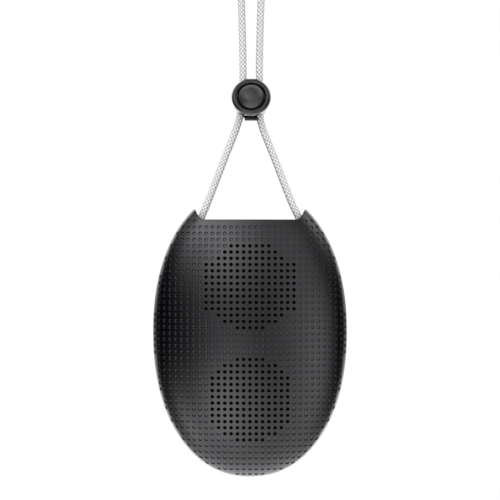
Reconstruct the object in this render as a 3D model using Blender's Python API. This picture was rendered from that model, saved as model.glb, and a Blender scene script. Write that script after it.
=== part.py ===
"""Shower speaker that hangs from a cord: an egg-shaped, two-driver speaker with a notched top.

All sizes are in metres.  The front of the speaker faces -Y, +X is to its right and +Z is up.
The world origin is the hook point, the inside top of the cord's loop.  Every piece is placed
from the speaker's own centre, an empty that hangs HOOK_HEIGHT below the hook point.
"""

import math

import bmesh
import bpy
from mathutils import Matrix, Vector

# ---- driving dimensions -------------------------------------------------------------------
CLEARANCE = 0.0003          # air left between pieces that touch
HOOK_HEIGHT = 0.205         # from the speaker's centre up to the hook point

HALF_WIDTH = 0.0484         # the outline is a superellipse in X and Z
HALF_HEIGHT = 0.0724
OUTLINE_POWER = 2.17
WALL = 0.0022
SEAM_GAP = CLEARANCE
BEYOND = 0.03               # guide solids that cut right through reach at least this far

FRONT_DEPTH = 0.0134        # each half is a dome over the outline
FRONT_POWER = 1.8
REAR_DEPTH = 0.0245
REAR_POWER = 2.6
REAR_FLAT_Y = 0.0230        # the rear dome ends in a flat here

NOTCH_FLOOR_Z = 0.0560      # the notch across the top, between the two horns
NOTCH_FLAT_HALF = 0.0219
NOTCH_RADIUS = 0.0050
NOTCH_TURN = math.radians(68.0)     # how far each corner turns up before it runs out straight

DECK_TOP_Z = 0.0540
DECK_THICKNESS = 0.0025
DECK_HALF_WIDTH = 0.0300

KEY_SPACING = 0.0100
KEY_Y = 0.0050
KEY_RADIUS = 0.0039
KEY_FLANGE_RADIUS = 0.0047
KEY_EDGE = 0.0005           # the bevel round a key's face, and how far the face is domed
KEY_DOME = 0.0001
KEY_TRAVEL = 0.0005
KEY_TOP_Z = 0.0549
KEY_BOARD_TOP_Z = 0.0472
KEY_BOARD_SIZE = (0.0400, 0.0150)
KEY_BOARD_Y = 0.0060
SWITCH_HEIGHT = 0.0018
SWITCH_HALF_WIDTH = 0.0024
SWITCH_NUB_RADIUS = 0.0011
SWITCH_NUB_HEIGHT = 0.0005
REST_GAP = 0.0002           # between a key at the end of its travel and its switch
LIGHT_RADIUS = 0.0012
LIGHT_Y = 0.0120
LIGHT_TOP_Z = 0.0543
PCB = 0.0012

CORD_RADIUS = 0.0018
CORD_Y = 0.0030
CORD_EXIT_X = 0.0250
CORD_END_Z = 0.0455
GROMMET_BORE = CORD_RADIUS + CLEARANCE
GROMMET_COLLAR = 0.0034
GROMMET_LIP = 0.0043
GROMMET_LIP_THICKNESS = 0.0007
CRIMP_RADIUS = 0.0030
CRIMP_BOTTOM_Z = 0.0462
CRIMP_TOP_Z = 0.0492

STOPPER_X = 0.0006
STOPPER_Z = 0.1153          # above the speaker's centre
STOPPER_TILT = math.radians(16.0)   # the button looks up a little
STOPPER_BODY = [            # (radius, distance behind the cord) from the front rim to the back
    (0.0073, -0.0074), (0.0082, -0.0078), (0.0090, -0.0075), (0.00955, -0.0066),
    (0.00955, -0.0059), (0.0087, -0.0056), (0.0091, -0.0044), (0.0090, -0.0025),
    (0.0089, 0.0000), (0.0083, 0.0030), (0.0076, 0.0055), (0.0070, 0.0075), (0.0060, 0.0092),
    (0.0040, 0.0107), (0.0, 0.0117),
]
STRAND_HALF_GAP = 0.0046    # half the distance between the two strands inside the stopper
LEGS_X = -0.0002            # the middle of the two strands below the stopper
SLOT_INNER = 0.0017         # each strand has its own slot through the stopper
SLOT_HALF_WIDTH = 0.0080
LEG_RELIEF_FRONT = 0.0048   # below, the slots open towards the front so that the legs can spread
LEG_RELIEF_INNER = 0.0031
LEG_RELIEF_DROP = 0.0066
PLUNGER_RADIUS = 0.0066
PLUNGER_FACE = [(0.0, -0.0098), (0.0022, -0.0097), (0.0043, -0.0093), (0.0058, -0.0086)]
PLUNGER_EDGE_Y = -0.0077
PLUNGER_TRAVEL = 0.0024
PLUNGER_WEB = 0.0013
PLUNGER_DISC = 0.0010       # thickness of the plunger behind the strands
STOPPER_BORE_FLOOR = 0.0058
SPRING_POCKET_RADIUS = 0.0033
SPRING_POCKET_FLOOR = 0.0088
SPRING_RADIUS = 0.0026
SPRING_WIRE = 0.0003
SPRING_TURNS = 3.0

DRIVERS = {"upper": 0.0224, "lower": -0.0340}   # heights of the two driver centres
CLOTH_RADIUS = 0.0240
CLOTH_THICKNESS = 0.0003
CLOTH_GAP = 0.0007          # between the front shell and the cloth
BAFFLE_FRONT_Y = -0.0032
BAFFLE_THICKNESS = 0.0020
BAFFLE_HALF_WIDTH = 0.0420
BAFFLE_HALF_HEIGHT = 0.0645
BAFFLE_TOP_Z = 0.0448
DRIVER_HOLE_RADIUS = 0.0182
DRIVER_SCREW_RING = 0.0196
DRIVER_SCREW_RADIUS = 0.0009
DRIVER_PILOT_RADIUS = 0.0012
BASKET_SCREW_RADIUS = 0.0013
SCREW_SPOTS = {                                  # case screws, seen from the front
    "upper_left": (-0.0330, 0.0300),
    "upper_right": (0.0330, 0.0300),
    "lower_left": (-0.0330, -0.0360),
    "lower_right": (0.0330, -0.0360),
}
BOSS_RADIUS = 0.0038
BOSS_BORE = 0.0015
HEAD_BORE = 0.0027
HEAD_SEAT_Y = 0.0095
CASE_SCREW_HEAD_RADIUS = 0.0023
CASE_SCREW_RADIUS = 0.0012
CASE_SCREW_TIP_Y = -0.0030

GASKET_GAP = 0.0006         # from the inside of the case
GASKET_WIDTH = 0.0014
GASKET_FRONT_Y = -0.0006
GASKET_REAR_Y = 0.0024

# Profiles of a driver's turned pieces, as (radius, distance behind the seam).
BASKET = [
    (0.0159, -0.0044), (0.0215, -0.0044), (0.0215, -0.0035), (0.0175, -0.0035),
    (0.0150, 0.0065), (0.0074, 0.0065), (0.0074, 0.0053), (0.0140, 0.0053), (0.0163, -0.0037),
]
MAGNET = [(0.0086, 0.0068), (0.0145, 0.0068), (0.0145, 0.0110), (0.0086, 0.0110)]
YOKE = [
    (0.0, 0.0130), (0.0135, 0.0130), (0.0135, 0.0113), (0.0063, 0.0113), (0.0063, 0.0030),
    (0.0, 0.0030),
]
VOICE_COIL = [(0.0066, 0.0002), (0.0070, 0.0002), (0.0070, 0.0080), (0.0066, 0.0080)]
CONE_LINE = [(0.0073, 0.0005), (0.0100, -0.0021), (0.0128, -0.0043)]
CONE_THICKNESS = 0.0005
SUSPENSION_THICKNESS = 0.0004
DAMPER_RADII = (0.0073, 0.0144)
DAMPER_Y = 0.0025
DAMPER_WAVE = 0.0005
ROLL_MIDDLE = (0.0145, -0.0051)     # the surround's half roll
ROLL_HALF_WIDTH = 0.0016
ROLL_HEIGHT = 0.0010
SURROUND_RADII = (0.0119, 0.0178)
DUST_CAP_RADIUS = 0.0079
DUST_CAP_RISE = 0.0020
DUST_CAP_Y = -0.0010
SCREW_HEAD = [(0.0, -0.0055), (0.0014, -0.0054), (0.0017, -0.0047)]
SCREW_TIP_Y = 0.0005

BOARD_Y = 0.0140
BOARD_SIZE = (0.0440, PCB, 0.0380)
BOARD_Z = 0.0220
CHIP_SIZE = (0.0070, 0.0012, 0.0070)
CHIP_SPOT = (-0.0120, 0.0240)
MODULE_SIZE = (0.0120, 0.0020, 0.0150)
MODULE_SPOT = (0.0120, 0.0300)
SOCKET_SIZE = (0.0090, 0.0033)
SOCKET_WALL = 0.00035
SOCKET_CORNER = 0.0014
SOCKET_FLOOR = 0.0010
SOCKET_MOUTH_Y = 0.0212
BATTERY_SIZE = (0.0380, 0.0044, 0.0360)
BATTERY_PLACE = (0.0, 0.0156, -0.0220)
BATTERY_EDGE = 0.0008
FOAM_SIZE = (0.0260, 0.0020, 0.0200)
FOAM_PLACE = (0.0, 0.0195, -0.0220)
LEAD_RADIUS = 0.0009
LEAD_X = 0.0060
LEAD_LINE = [           # (y, z) from the battery up to the board
    (0.0160, -0.0036), (0.0165, -0.0012), (0.0172, 0.0010), (0.0172, 0.0040), (0.0167, 0.0060),
]

PORT_Z = 0.0120
PORT_COVER_WIDTH = 0.0174
PORT_COVER_HEIGHT = 0.0114
PORT_COVER_CORNER = 0.0015
PORT_RECESS = 0.0012
PORT_MOUTH = (0.0102, 0.0046)
PORT_MOUTH_CORNER = 0.0020
PORT_PLUG = (0.0094, 0.0038)
PORT_PLUG_CORNER = 0.0016
PORT_PLUG_DEPTH_Y = 0.0216
PAD_Z = -0.0180
PAD_SIZE = (0.0300, 0.0220)
PAD_CORNER = 0.0050
PAD_BACK_Y = 0.0241

SHELL_SEGMENTS = 56
SHELL_RINGS = 8
ROUND = 20
SMALL = 12


# ---- helpers ------------------------------------------------------------------------------
def clear_scene():
    for old in list(bpy.data.objects):
        bpy.data.objects.remove(old, do_unlink=True)


def material(name, colour, roughness, metallic=0.0):
    """One Principled material per sub-part; the colour is linear RGB."""
    made = bpy.data.materials.new(name)
    made.use_nodes = True
    shader = made.node_tree.nodes["Principled BSDF"]
    shader.inputs["Base Color"].default_value = (*colour, 1.0)
    shader.inputs["Roughness"].default_value = roughness
    shader.inputs["Metallic"].default_value = metallic
    made.diffuse_color = (*colour, 1.0)
    return made


def add_object(name, bm, look, at=(0.0, 0.0, 0.0), sharp=35.0):
    """Turn a bmesh into a named object under the speaker's centre."""
    bmesh.ops.recalc_face_normals(bm, faces=bm.faces)
    mesh = bpy.data.meshes.new(name)
    bm.to_mesh(mesh)
    bm.free()
    mesh.shade_smooth()
    mesh.set_sharp_from_angle(angle=math.radians(sharp))
    mesh.materials.append(look)
    made = bpy.data.objects.new(name, mesh)
    made.location = at
    made.parent = SPEAKER_CENTRE
    bpy.context.collection.objects.link(made)
    return made


def make_cutter(made):
    made.hide_render = True
    made.display_type = "WIRE"
    return made


def combine(target, other, operation="DIFFERENCE"):
    """Cut or join with a guide object, which the build leaves out."""
    step = target.modifiers.new(other.name, "BOOLEAN")
    step.object = other
    step.operation = operation
    step.solver = "EXACT"


def bridge_loops(bm, loops, closed=False):
    """Skin a list of equal vertex loops; closed joins the last loop to the first."""
    pairs = list(zip(loops, loops[1:]))
    if closed:
        pairs.append((loops[-1], loops[0]))
    for low, high in pairs:
        count = len(low)
        for i in range(count):
            j = (i + 1) % count
            bm.faces.new((low[i], low[j], high[j], high[i]))


def lathe(name, profile, look, at, axis="Y", segments=ROUND, sharp=35.0):
    """Turn a closed (radius, height) profile about an axis through `at`."""
    bm = bmesh.new()
    loops = []
    for radius, height in profile:
        loop = []
        for i in range(segments):
            turn = math.tau * i / segments
            across = radius * math.cos(turn)
            along = radius * math.sin(turn)
            point = (across, height, along) if axis == "Y" else (across, along, height)
            loop.append(bm.verts.new(point))
        loops.append(loop)
    bridge_loops(bm, loops, closed=True)
    bmesh.ops.remove_doubles(bm, verts=bm.verts, dist=1e-7)
    loose = [face for face in bm.faces if face.calc_area() < 1e-14]
    bmesh.ops.delete(bm, geom=loose, context="FACES_ONLY")
    return add_object(name, bm, look, at, sharp)


def turned_solid(name, profile, look, at, axis="Y", segments=ROUND, sharp=35.0):
    """Turn an open (radius, height) profile and close both ends with flat or pointed caps."""
    bm = bmesh.new()
    loops = []
    poles = {}
    for step, (radius, height) in enumerate(profile):
        if radius == 0.0:
            poles[step] = bm.verts.new((0, height, 0) if axis == "Y" else (0, 0, height))
            continue
        loop = []
        for i in range(segments):
            turn = math.tau * i / segments
            across = radius * math.cos(turn)
            along = radius * math.sin(turn)
            point = (across, height, along) if axis == "Y" else (across, along, height)
            loop.append(bm.verts.new(point))
        loops.append(loop)
    bridge_loops(bm, loops)
    for end, loop in ((0, loops[0]), (len(profile) - 1, loops[-1])):
        if end in poles:
            for i in range(segments):
                bm.faces.new((poles[end], loop[i], loop[(i + 1) % segments]))
        else:
            bm.faces.new(loop)
    return add_object(name, bm, look, at, sharp)


def strip_profile(points, thickness):
    """A closed lathe profile: an open line of (radius, height) points given a thickness in height."""
    back = [(radius, height + thickness) for radius, height in reversed(points)]
    return list(points) + back


def box(name, size, look, at, bevel=0.0):
    """A box centred on `at`, with its edges optionally bevelled."""
    bm = bmesh.new()
    bmesh.ops.create_cube(bm, size=1.0, matrix=Matrix.Diagonal((*size, 1.0)))
    if bevel:
        bmesh.ops.bevel(bm, geom=bm.edges, offset=bevel, segments=2, profile=0.5, affect="EDGES")
    return add_object(name, bm, look, at, sharp=50.0)


def prism(name, outline, low, high, look, at=(0.0, 0.0, 0.0), along="Y"):
    """Extrude a closed outline along Y (outline in X, Z) or along Z (outline in X, Y)."""
    bm = bmesh.new()
    loops = []
    for level in (low, high):
        if along == "Y":
            loops.append([bm.verts.new((u, level, v)) for u, v in outline])
        else:
            loops.append([bm.verts.new((u, v, level)) for u, v in outline])
    bridge_loops(bm, loops)
    for loop in loops:
        bm.faces.new(loop)
    return add_object(name, bm, look, at)


def rounded_rectangle(width, height, radius, steps=3):
    points = []
    for quarter in range(4):
        sign_x = 1 if quarter in (0, 3) else -1
        sign_y = 1 if quarter in (0, 1) else -1
        for i in range(steps + 1):
            turn = math.pi / 2 * (quarter + i / steps)
            points.append((
                sign_x * (width / 2 - radius) + radius * math.cos(turn),
                sign_y * (height / 2 - radius) + radius * math.sin(turn),
            ))
    return points


def circle_points(radius, count, centre=(0.0, 0.0)):
    """Corners of a regular polygon, with flats rather than corners on its two axes."""
    turns = [math.tau * (i + 0.5) / count for i in range(count)]
    return [(centre[0] + radius * math.cos(t), centre[1] + radius * math.sin(t)) for t in turns]


# ---- the shape of the case ----------------------------------------------------------------
def outline_point(turn, half_width, half_height):
    """A point of the superellipse at parameter `turn`."""
    across, up = math.cos(turn), math.sin(turn)
    power = 2.0 / OUTLINE_POWER
    x = half_width * math.copysign(abs(across) ** power, across)
    z = half_height * math.copysign(abs(up) ** power, up)
    return x, z


def outline(half_width, half_height, count=SHELL_SEGMENTS):
    return [outline_point(math.tau * i / count, half_width, half_height) for i in range(count)]


def dome_height(x, z, inset, depth, power):
    """How far a dome, moved inwards by `inset`, stands off the seam plane at (x, z)."""
    across = abs(x / (HALF_WIDTH - inset)) ** OUTLINE_POWER
    up = abs(z / (HALF_HEIGHT - inset)) ** OUTLINE_POWER
    rho = (across + up) ** (1.0 / OUTLINE_POWER)
    return (depth - inset) * max(0.0, 1.0 - rho ** power) ** (1.0 / power)


def front_y(x, z, inset=0.0):
    return -dome_height(x, z, inset, FRONT_DEPTH, FRONT_POWER)


def rear_y(x, z, inset=0.0):
    return min(dome_height(x, z, inset, REAR_DEPTH, REAR_POWER), REAR_FLAT_Y - inset)


def dome_loops(bm, inset, depth, power, facing, flat):
    """Vertex loops from the seam up to the dome's crown, or to its flat if it has one."""
    start = SEAM_GAP / 2
    rise = depth - inset - start
    last = math.pi / 2
    if flat is not None:
        last = math.asin(((flat - inset - start) / rise) ** (power / 2))
    loops = []
    for ring in range(SHELL_RINGS):
        angle = last * ring / (SHELL_RINGS - (0 if flat is None else 1))
        scale = math.cos(angle) ** (2.0 / power)
        y = facing * (start + rise * math.sin(angle) ** (2.0 / power))
        loop = outline((HALF_WIDTH - inset) * scale, (HALF_HEIGHT - inset) * scale)
        loops.append([bm.verts.new((x, y, z)) for x, z in loop])
    if flat is None:
        crown = bm.verts.new((0.0, facing * (depth - inset), 0.0))
        top = loops[-1]
        for i in range(len(top)):
            bm.faces.new((crown, top[i], top[(i + 1) % len(top)]))
    else:
        bm.faces.new(loops[-1])
    bridge_loops(bm, loops)
    return loops[0]


def case_half(name, depth, power, facing, flat, look):
    """One half of the case: an outer and an inner dome joined along the seam."""
    bm = bmesh.new()
    outer_rim = dome_loops(bm, 0.0, depth, power, facing, flat)
    inner_rim = dome_loops(bm, WALL, depth, power, facing, flat)
    bridge_loops(bm, [outer_rim, inner_rim])
    return add_object(name, bm, look, sharp=20.0)


def notch_cutter(look):
    """The notch's profile, run right through from front to back."""
    steps = 6
    right = []
    for i in range(steps + 1):
        turn = NOTCH_TURN * i / steps
        right.append((
            NOTCH_FLAT_HALF + NOTCH_RADIUS * math.sin(turn),
            NOTCH_FLOOR_Z + NOTCH_RADIUS * (1.0 - math.cos(turn)),
        ))
    end_x, end_z = right[-1]
    right.append((end_x + BEYOND * math.cos(NOTCH_TURN), end_z + BEYOND * math.sin(NOTCH_TURN)))
    left = [(-x, z) for x, z in reversed(right)]
    return make_cutter(prism("notch_cutter", left + right, -BEYOND, BEYOND, look))


def make_case():
    plastic = material("case_plastic", (0.03, 0.031, 0.033), 0.42)
    rubber = material("gasket_rubber", (0.02, 0.02, 0.021), 0.8)
    notch = notch_cutter(plastic)

    front = case_half("front_shell", FRONT_DEPTH, FRONT_POWER, -1, None, plastic)
    combine(front, notch)

    rear = case_half("rear_shell", REAR_DEPTH, REAR_POWER, 1, REAR_FLAT_Y, plastic)
    combine(rear, notch)
    for spot, (x, z) in SCREW_SPOTS.items():
        boss_start = BAFFLE_FRONT_Y + BAFFLE_THICKNESS + CLEARANCE
        boss_end = rear_y(x, z, WALL) + WALL / 3
        boss = prism(f"boss_{spot}", circle_points(BOSS_RADIUS, ROUND), boss_start, boss_end,
                     plastic, (x, 0.0, z))
        combine(rear, make_cutter(boss), "UNION")
    for spot, (x, z) in SCREW_SPOTS.items():
        bore = prism(f"screw_bore_{spot}", circle_points(BOSS_BORE, SMALL), -BEYOND, BEYOND,
                     plastic, (x, 0.0, z))
        combine(rear, make_cutter(bore))
        head = prism(f"head_bore_{spot}", circle_points(HEAD_BORE, SMALL), HEAD_SEAT_Y, BEYOND,
                     plastic, (x, 0.0, z))
        combine(rear, make_cutter(head))

    recess = rounded_rectangle(PORT_COVER_WIDTH + 2 * CLEARANCE, PORT_COVER_HEIGHT + 2 * CLEARANCE,
                               PORT_COVER_CORNER + CLEARANCE)
    combine(rear, make_cutter(prism("port_recess", recess, REAR_FLAT_Y - PORT_RECESS, BEYOND,
                                    plastic, (0.0, 0.0, PORT_Z))))
    mouth = rounded_rectangle(*PORT_MOUTH, PORT_MOUTH_CORNER)
    combine(rear, make_cutter(prism("port_mouth", mouth, REAR_FLAT_Y - 2 * WALL, BEYOND, plastic,
                                    (0.0, 0.0, PORT_Z))))
    make_seam_gasket(rubber)


def make_seam_gasket(look):
    """A rubber strip inside the seam, from one end of the deck round the bottom to the other."""
    outer_inset = WALL + GASKET_GAP
    inner_inset = outer_inset + GASKET_WIDTH
    gap_below_deck = 0.0010
    top = DECK_TOP_Z - DECK_THICKNESS - gap_below_deck
    end = math.asin((top / (HALF_HEIGHT - inner_inset)) ** (OUTLINE_POWER / 2))
    steps = 44
    bm = bmesh.new()
    sections = []
    for i in range(steps + 1):
        turn = math.pi - end + (math.pi + 2 * end) * i / steps
        outer = outline_point(turn, HALF_WIDTH - outer_inset, HALF_HEIGHT - outer_inset)
        inner = outline_point(turn, HALF_WIDTH - inner_inset, HALF_HEIGHT - inner_inset)
        corners = ((outer, GASKET_FRONT_Y), (outer, GASKET_REAR_Y),
                   (inner, GASKET_REAR_Y), (inner, GASKET_FRONT_Y))
        sections.append([bm.verts.new((x, y, z)) for (x, z), y in corners])
    bridge_loops(bm, sections)
    bm.faces.new(sections[0])
    bm.faces.new(sections[-1])
    add_object("seam_gasket", bm, look)


# ---- deck and keys ------------------------------------------------------------------------
def deck_outline(half_width, z, gap, count=12):
    """The inside of the case at height z, drawn in by `gap`."""
    stations = [-half_width + 2 * half_width * i / count for i in range(count + 1)]
    front = [(x, front_y(x, z, WALL) + gap) for x in stations]
    rear = [(x, rear_y(x, z, WALL) - gap) for x in reversed(stations)]
    return front + rear


def make_deck():
    plastic = material("deck_plastic", (0.025, 0.026, 0.028), 0.5)
    bottom = DECK_TOP_Z - DECK_THICKNESS
    edge_gap = 0.0005
    deck = prism("top_deck", deck_outline(DECK_HALF_WIDTH, DECK_TOP_Z, edge_gap), bottom,
                 DECK_TOP_Z, plastic, along="Z")
    holes = [(x, KEY_Y, KEY_RADIUS + CLEARANCE) for x in key_places().values()]
    holes += [(side * CORD_EXIT_X, CORD_Y, GROMMET_COLLAR + CLEARANCE) for side in (-1, 1)]
    holes.append((0.0, LIGHT_Y, LIGHT_RADIUS + CLEARANCE))
    for number, (x, y, radius) in enumerate(holes):
        cutter = prism(f"deck_hole_{number}", circle_points(radius, ROUND), bottom - BEYOND,
                       DECK_TOP_Z + BEYOND, plastic, (x, y, 0.0), along="Z")
        combine(deck, make_cutter(cutter))

    lens = material("status_light_lens", (0.75, 0.78, 0.80), 0.15)
    profile = [(LIGHT_RADIUS, KEY_BOARD_TOP_Z + CLEARANCE), (LIGHT_RADIUS, DECK_TOP_Z),
               (0.0, LIGHT_TOP_Z)]
    turned_solid("status_light", profile, lens, (0.0, LIGHT_Y, 0.0), "Z", SMALL)


def key_places():
    """Key names and their places along X, left to right from the front."""
    names = ("power", "volume_down", "play", "volume_up")
    first = -KEY_SPACING * (len(names) - 1) / 2
    return {name: first + KEY_SPACING * i for i, name in enumerate(names)}


def make_keys():
    silicone = material("key_silicone", (0.045, 0.046, 0.05), 0.6)
    switch_look = material("switch_body", (0.02, 0.02, 0.02), 0.4)
    board_look = material("key_board_laminate", (0.01, 0.08, 0.03), 0.5)
    box("key_board", (*KEY_BOARD_SIZE, PCB), board_look,
        (0.0, KEY_BOARD_Y, KEY_BOARD_TOP_Z - PCB / 2))
    switch_bottom = KEY_BOARD_TOP_Z + CLEARANCE
    nub_top = switch_bottom + SWITCH_HEIGHT + SWITCH_NUB_HEIGHT
    flange_bottom = nub_top + KEY_TRAVEL + REST_GAP
    deck_bottom = DECK_TOP_Z - DECK_THICKNESS
    for key, x in key_places().items():
        profile = [
            (0.0, flange_bottom),
            (KEY_FLANGE_RADIUS, flange_bottom),
            (KEY_FLANGE_RADIUS, deck_bottom - CLEARANCE),
            (KEY_RADIUS, deck_bottom - CLEARANCE),
            (KEY_RADIUS, KEY_TOP_Z - KEY_EDGE),
            (KEY_RADIUS - KEY_EDGE, KEY_TOP_Z - KEY_DOME),
            (0.0, KEY_TOP_Z),
        ]
        centre = Vector((x, KEY_Y, KEY_TOP_Z))
        local = [(radius, height - centre.z) for radius, height in profile]
        turned_solid(f"key_{key}", local, silicone, centre, "Z")
        make_switch(f"switch_{key}", x, switch_bottom, nub_top, switch_look)


def make_switch(name, x, bottom, nub_top, look):
    """A square tact switch with its round nub, as one solid."""
    half = SWITCH_HALF_WIDTH
    body_top = bottom + SWITCH_HEIGHT
    bm = bmesh.new()
    square = [(-half, -half), (half, -half), (half, half), (-half, half)]
    low = [bm.verts.new((u, v, bottom)) for u, v in square]
    high = [bm.verts.new((u, v, body_top)) for u, v in square]
    bm.faces.new(low)
    bridge_loops(bm, [low, high])
    corners = [math.radians(45 * i - 135) for i in range(8)]
    ring = [(SWITCH_NUB_RADIUS * math.cos(a), SWITCH_NUB_RADIUS * math.sin(a)) for a in corners]
    foot = [bm.verts.new((u, v, body_top)) for u, v in ring]
    tip = [bm.verts.new((u, v, nub_top)) for u, v in ring]
    bridge_loops(bm, [foot, tip])
    bm.faces.new(tip)
    for side in range(4):
        near, far = 2 * side, (2 * side + 2) % 8
        bm.faces.new((high[side], high[(side + 1) % 4], foot[far], foot[near + 1], foot[near]))
    add_object(name, bm, look, (x, KEY_Y, 0.0))


# ---- cord and stopper ---------------------------------------------------------------------
def smooth_route(points, spacing):
    """Points on a Catmull-Rom curve through the route's own points."""
    points = [Vector(p) for p in points]
    padded = [2 * points[0] - points[1]] + points + [2 * points[-1] - points[-2]]
    route = []
    for a, b, c, d in zip(padded, padded[1:], padded[2:], padded[3:]):
        count = max(1, round((c - b).length / spacing))
        for i in range(count):
            t = i / count
            route.append(0.5 * (2 * b + (c - a) * t + (2 * a - 5 * b + 4 * c - d) * t * t
                                + (3 * b - a - 3 * c + d) * t ** 3))
    route.append(points[-1])
    return route


def cord_tube(name, points, look, radius=CORD_RADIUS, spacing=4.0 * CORD_RADIUS):
    curve = bpy.data.curves.new(name, "CURVE")
    curve.dimensions = "3D"
    curve.bevel_depth = radius
    curve.bevel_resolution = 2
    curve.use_fill_caps = True
    route = smooth_route(points, spacing)
    spline = curve.splines.new("POLY")
    spline.points.add(len(route) - 1)
    for place, point in zip(spline.points, route):
        place.co = (*point, 1.0)
    spline.use_smooth = True
    curve.materials.append(look)
    made = bpy.data.objects.new(name, curve)
    made.parent = SPEAKER_CENTRE
    bpy.context.collection.objects.link(made)
    return made


def make_cord():
    braid = material("cord_braid", (0.70, 0.70, 0.69), 0.75)
    rubber = material("grommet_rubber", (0.018, 0.018, 0.018), 0.7)
    metal = material("crimp_metal", (0.72, 0.70, 0.66), 0.3, 1.0)
    for side, name in ((-1, "left"), (1, "right")):
        exit_x = side * CORD_EXIT_X
        leg = [
            (exit_x, CORD_Y, CORD_END_Z),
            (exit_x, CORD_Y, 0.0515),
            (exit_x - side * 0.0001, CORD_Y, 0.0550),
            (exit_x - side * 0.0011, CORD_Y, 0.0583),
            (LEGS_X + side * 0.0205, CORD_Y, 0.0660),
            (LEGS_X + side * 0.0128, CORD_Y, 0.0860),
            (LEGS_X + side * 0.0058, CORD_Y, 0.1044),
            (STOPPER_X + side * STRAND_HALF_GAP, CORD_Y, STOPPER_Z - CLEARANCE / 2),
        ]
        cord_tube(f"cord_{name}", leg, braid)
        make_grommet(f"cord_grommet_{name}", exit_x, rubber)
        crimp = [(GROMMET_BORE, CRIMP_BOTTOM_Z), (CRIMP_RADIUS, CRIMP_BOTTOM_Z),
                 (CRIMP_RADIUS, CRIMP_TOP_Z), (GROMMET_BORE, CRIMP_TOP_Z)]
        lathe(f"cord_crimp_{name}", crimp, metal, (exit_x, CORD_Y, 0.0), "Z")

    bight_z = HOOK_HEIGHT + CORD_RADIUS
    right_half = [
        (STRAND_HALF_GAP, STOPPER_Z + CLEARANCE / 2),
        (0.0041, 0.1275),
        (0.0044, 0.1480),
        (0.0052, 0.1700),
        (0.0067, 0.1865),
        (0.0079, 0.1985),
        (0.0068, 0.2029),
        (0.0038, 0.2058),
    ]
    loop = [(STOPPER_X - x, CORD_Y, z) for x, z in right_half]
    loop.append((STOPPER_X, CORD_Y, bight_z))
    loop += [(STOPPER_X + x, CORD_Y, z) for x, z in reversed(right_half)]
    cord_tube("cord_loop", loop, braid, spacing=2.5 * CORD_RADIUS)


def make_grommet(name, x, look):
    """A rubber sleeve with a lip above and below the deck and a flared mouth."""
    low = DECK_TOP_Z - DECK_THICKNESS - CLEARANCE
    high = DECK_TOP_Z + CLEARANCE
    flare = 0.0006
    profile = [
        (GROMMET_BORE, low - GROMMET_LIP_THICKNESS),
        (GROMMET_LIP, low - GROMMET_LIP_THICKNESS),
        (GROMMET_LIP, low),
        (GROMMET_COLLAR, low),
        (GROMMET_COLLAR, high),
        (GROMMET_LIP, high),
        (GROMMET_LIP, high + GROMMET_LIP_THICKNESS),
        (GROMMET_BORE + flare, high + GROMMET_LIP_THICKNESS),
        (GROMMET_BORE, DECK_TOP_Z - flare),
    ]
    lathe(name, profile, look, (x, CORD_Y, 0.0), "Z")


def make_stopper():
    gloss = material("stopper_plastic", (0.012, 0.012, 0.013), 0.22)
    button_look = material("stopper_button_plastic", (0.015, 0.015, 0.016), 0.25)
    steel = material("spring_steel", (0.60, 0.60, 0.60), 0.3, 1.0)
    centre = (STOPPER_X, CORD_Y, STOPPER_Z)
    bore = PLUNGER_RADIUS + CLEARANCE
    slot_depth = CORD_RADIUS + CLEARANCE
    through = 2 * BEYOND

    housing = turned_solid("stopper_housing", STOPPER_BODY, gloss, centre, "Y", 32)
    bore_cut = [(bore, -BEYOND), (bore, STOPPER_BORE_FLOOR),
                (SPRING_POCKET_RADIUS, STOPPER_BORE_FLOOR),
                (SPRING_POCKET_RADIUS, SPRING_POCKET_FLOOR)]
    bore_tool = turned_solid("stopper_bore", bore_cut, gloss, centre, "Y", 32)
    combine(housing, make_cutter(bore_tool))
    slot_width = SLOT_HALF_WIDTH - SLOT_INNER
    relief_depth = LEG_RELIEF_FRONT + slot_depth
    for side, name in ((-1, "left"), (1, "right")):
        middle_x = centre[0] + side * (SLOT_INNER + SLOT_HALF_WIDTH) / 2
        slot = box(f"stopper_slot_{name}", (slot_width, 2 * slot_depth, through), gloss,
                   (middle_x, centre[1], centre[2]))
        combine(housing, make_cutter(slot))
        relief_x = centre[0] + side * (LEG_RELIEF_INNER + SLOT_HALF_WIDTH) / 2
        relief = box(f"leg_relief_{name}",
                     (SLOT_HALF_WIDTH - LEG_RELIEF_INNER, relief_depth, BEYOND), gloss,
                     (relief_x, centre[1] + slot_depth - relief_depth / 2,
                      centre[2] - LEG_RELIEF_DROP - BEYOND / 2))
        combine(housing, make_cutter(relief))

    slot_front = -(slot_depth + PLUNGER_TRAVEL)
    disc_back = slot_depth + PLUNGER_DISC
    plunger = PLUNGER_FACE + [(PLUNGER_RADIUS, PLUNGER_EDGE_Y), (PLUNGER_RADIUS, disc_back)]
    button = turned_solid("stopper_button", plunger, button_look, centre, "Y", 32)
    for side, name in ((-1, "left"), (1, "right")):
        width = BEYOND - PLUNGER_WEB
        cut = box(f"button_slot_{name}", (width, slot_depth - slot_front, through), gloss,
                  (centre[0] + side * (PLUNGER_WEB + width / 2),
                   centre[1] + (slot_depth + slot_front) / 2, centre[2]))
        combine(button, make_cutter(cut))

    spring_start = disc_back + CLEARANCE + SPRING_WIRE
    spring_end = SPRING_POCKET_FLOOR - CLEARANCE - SPRING_WIRE
    spring = coil_spring("stopper_spring", centre, spring_start, spring_end, steel)
    for turned in (housing, bore_tool, button, spring):
        turned.rotation_euler.x = -STOPPER_TILT


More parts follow.
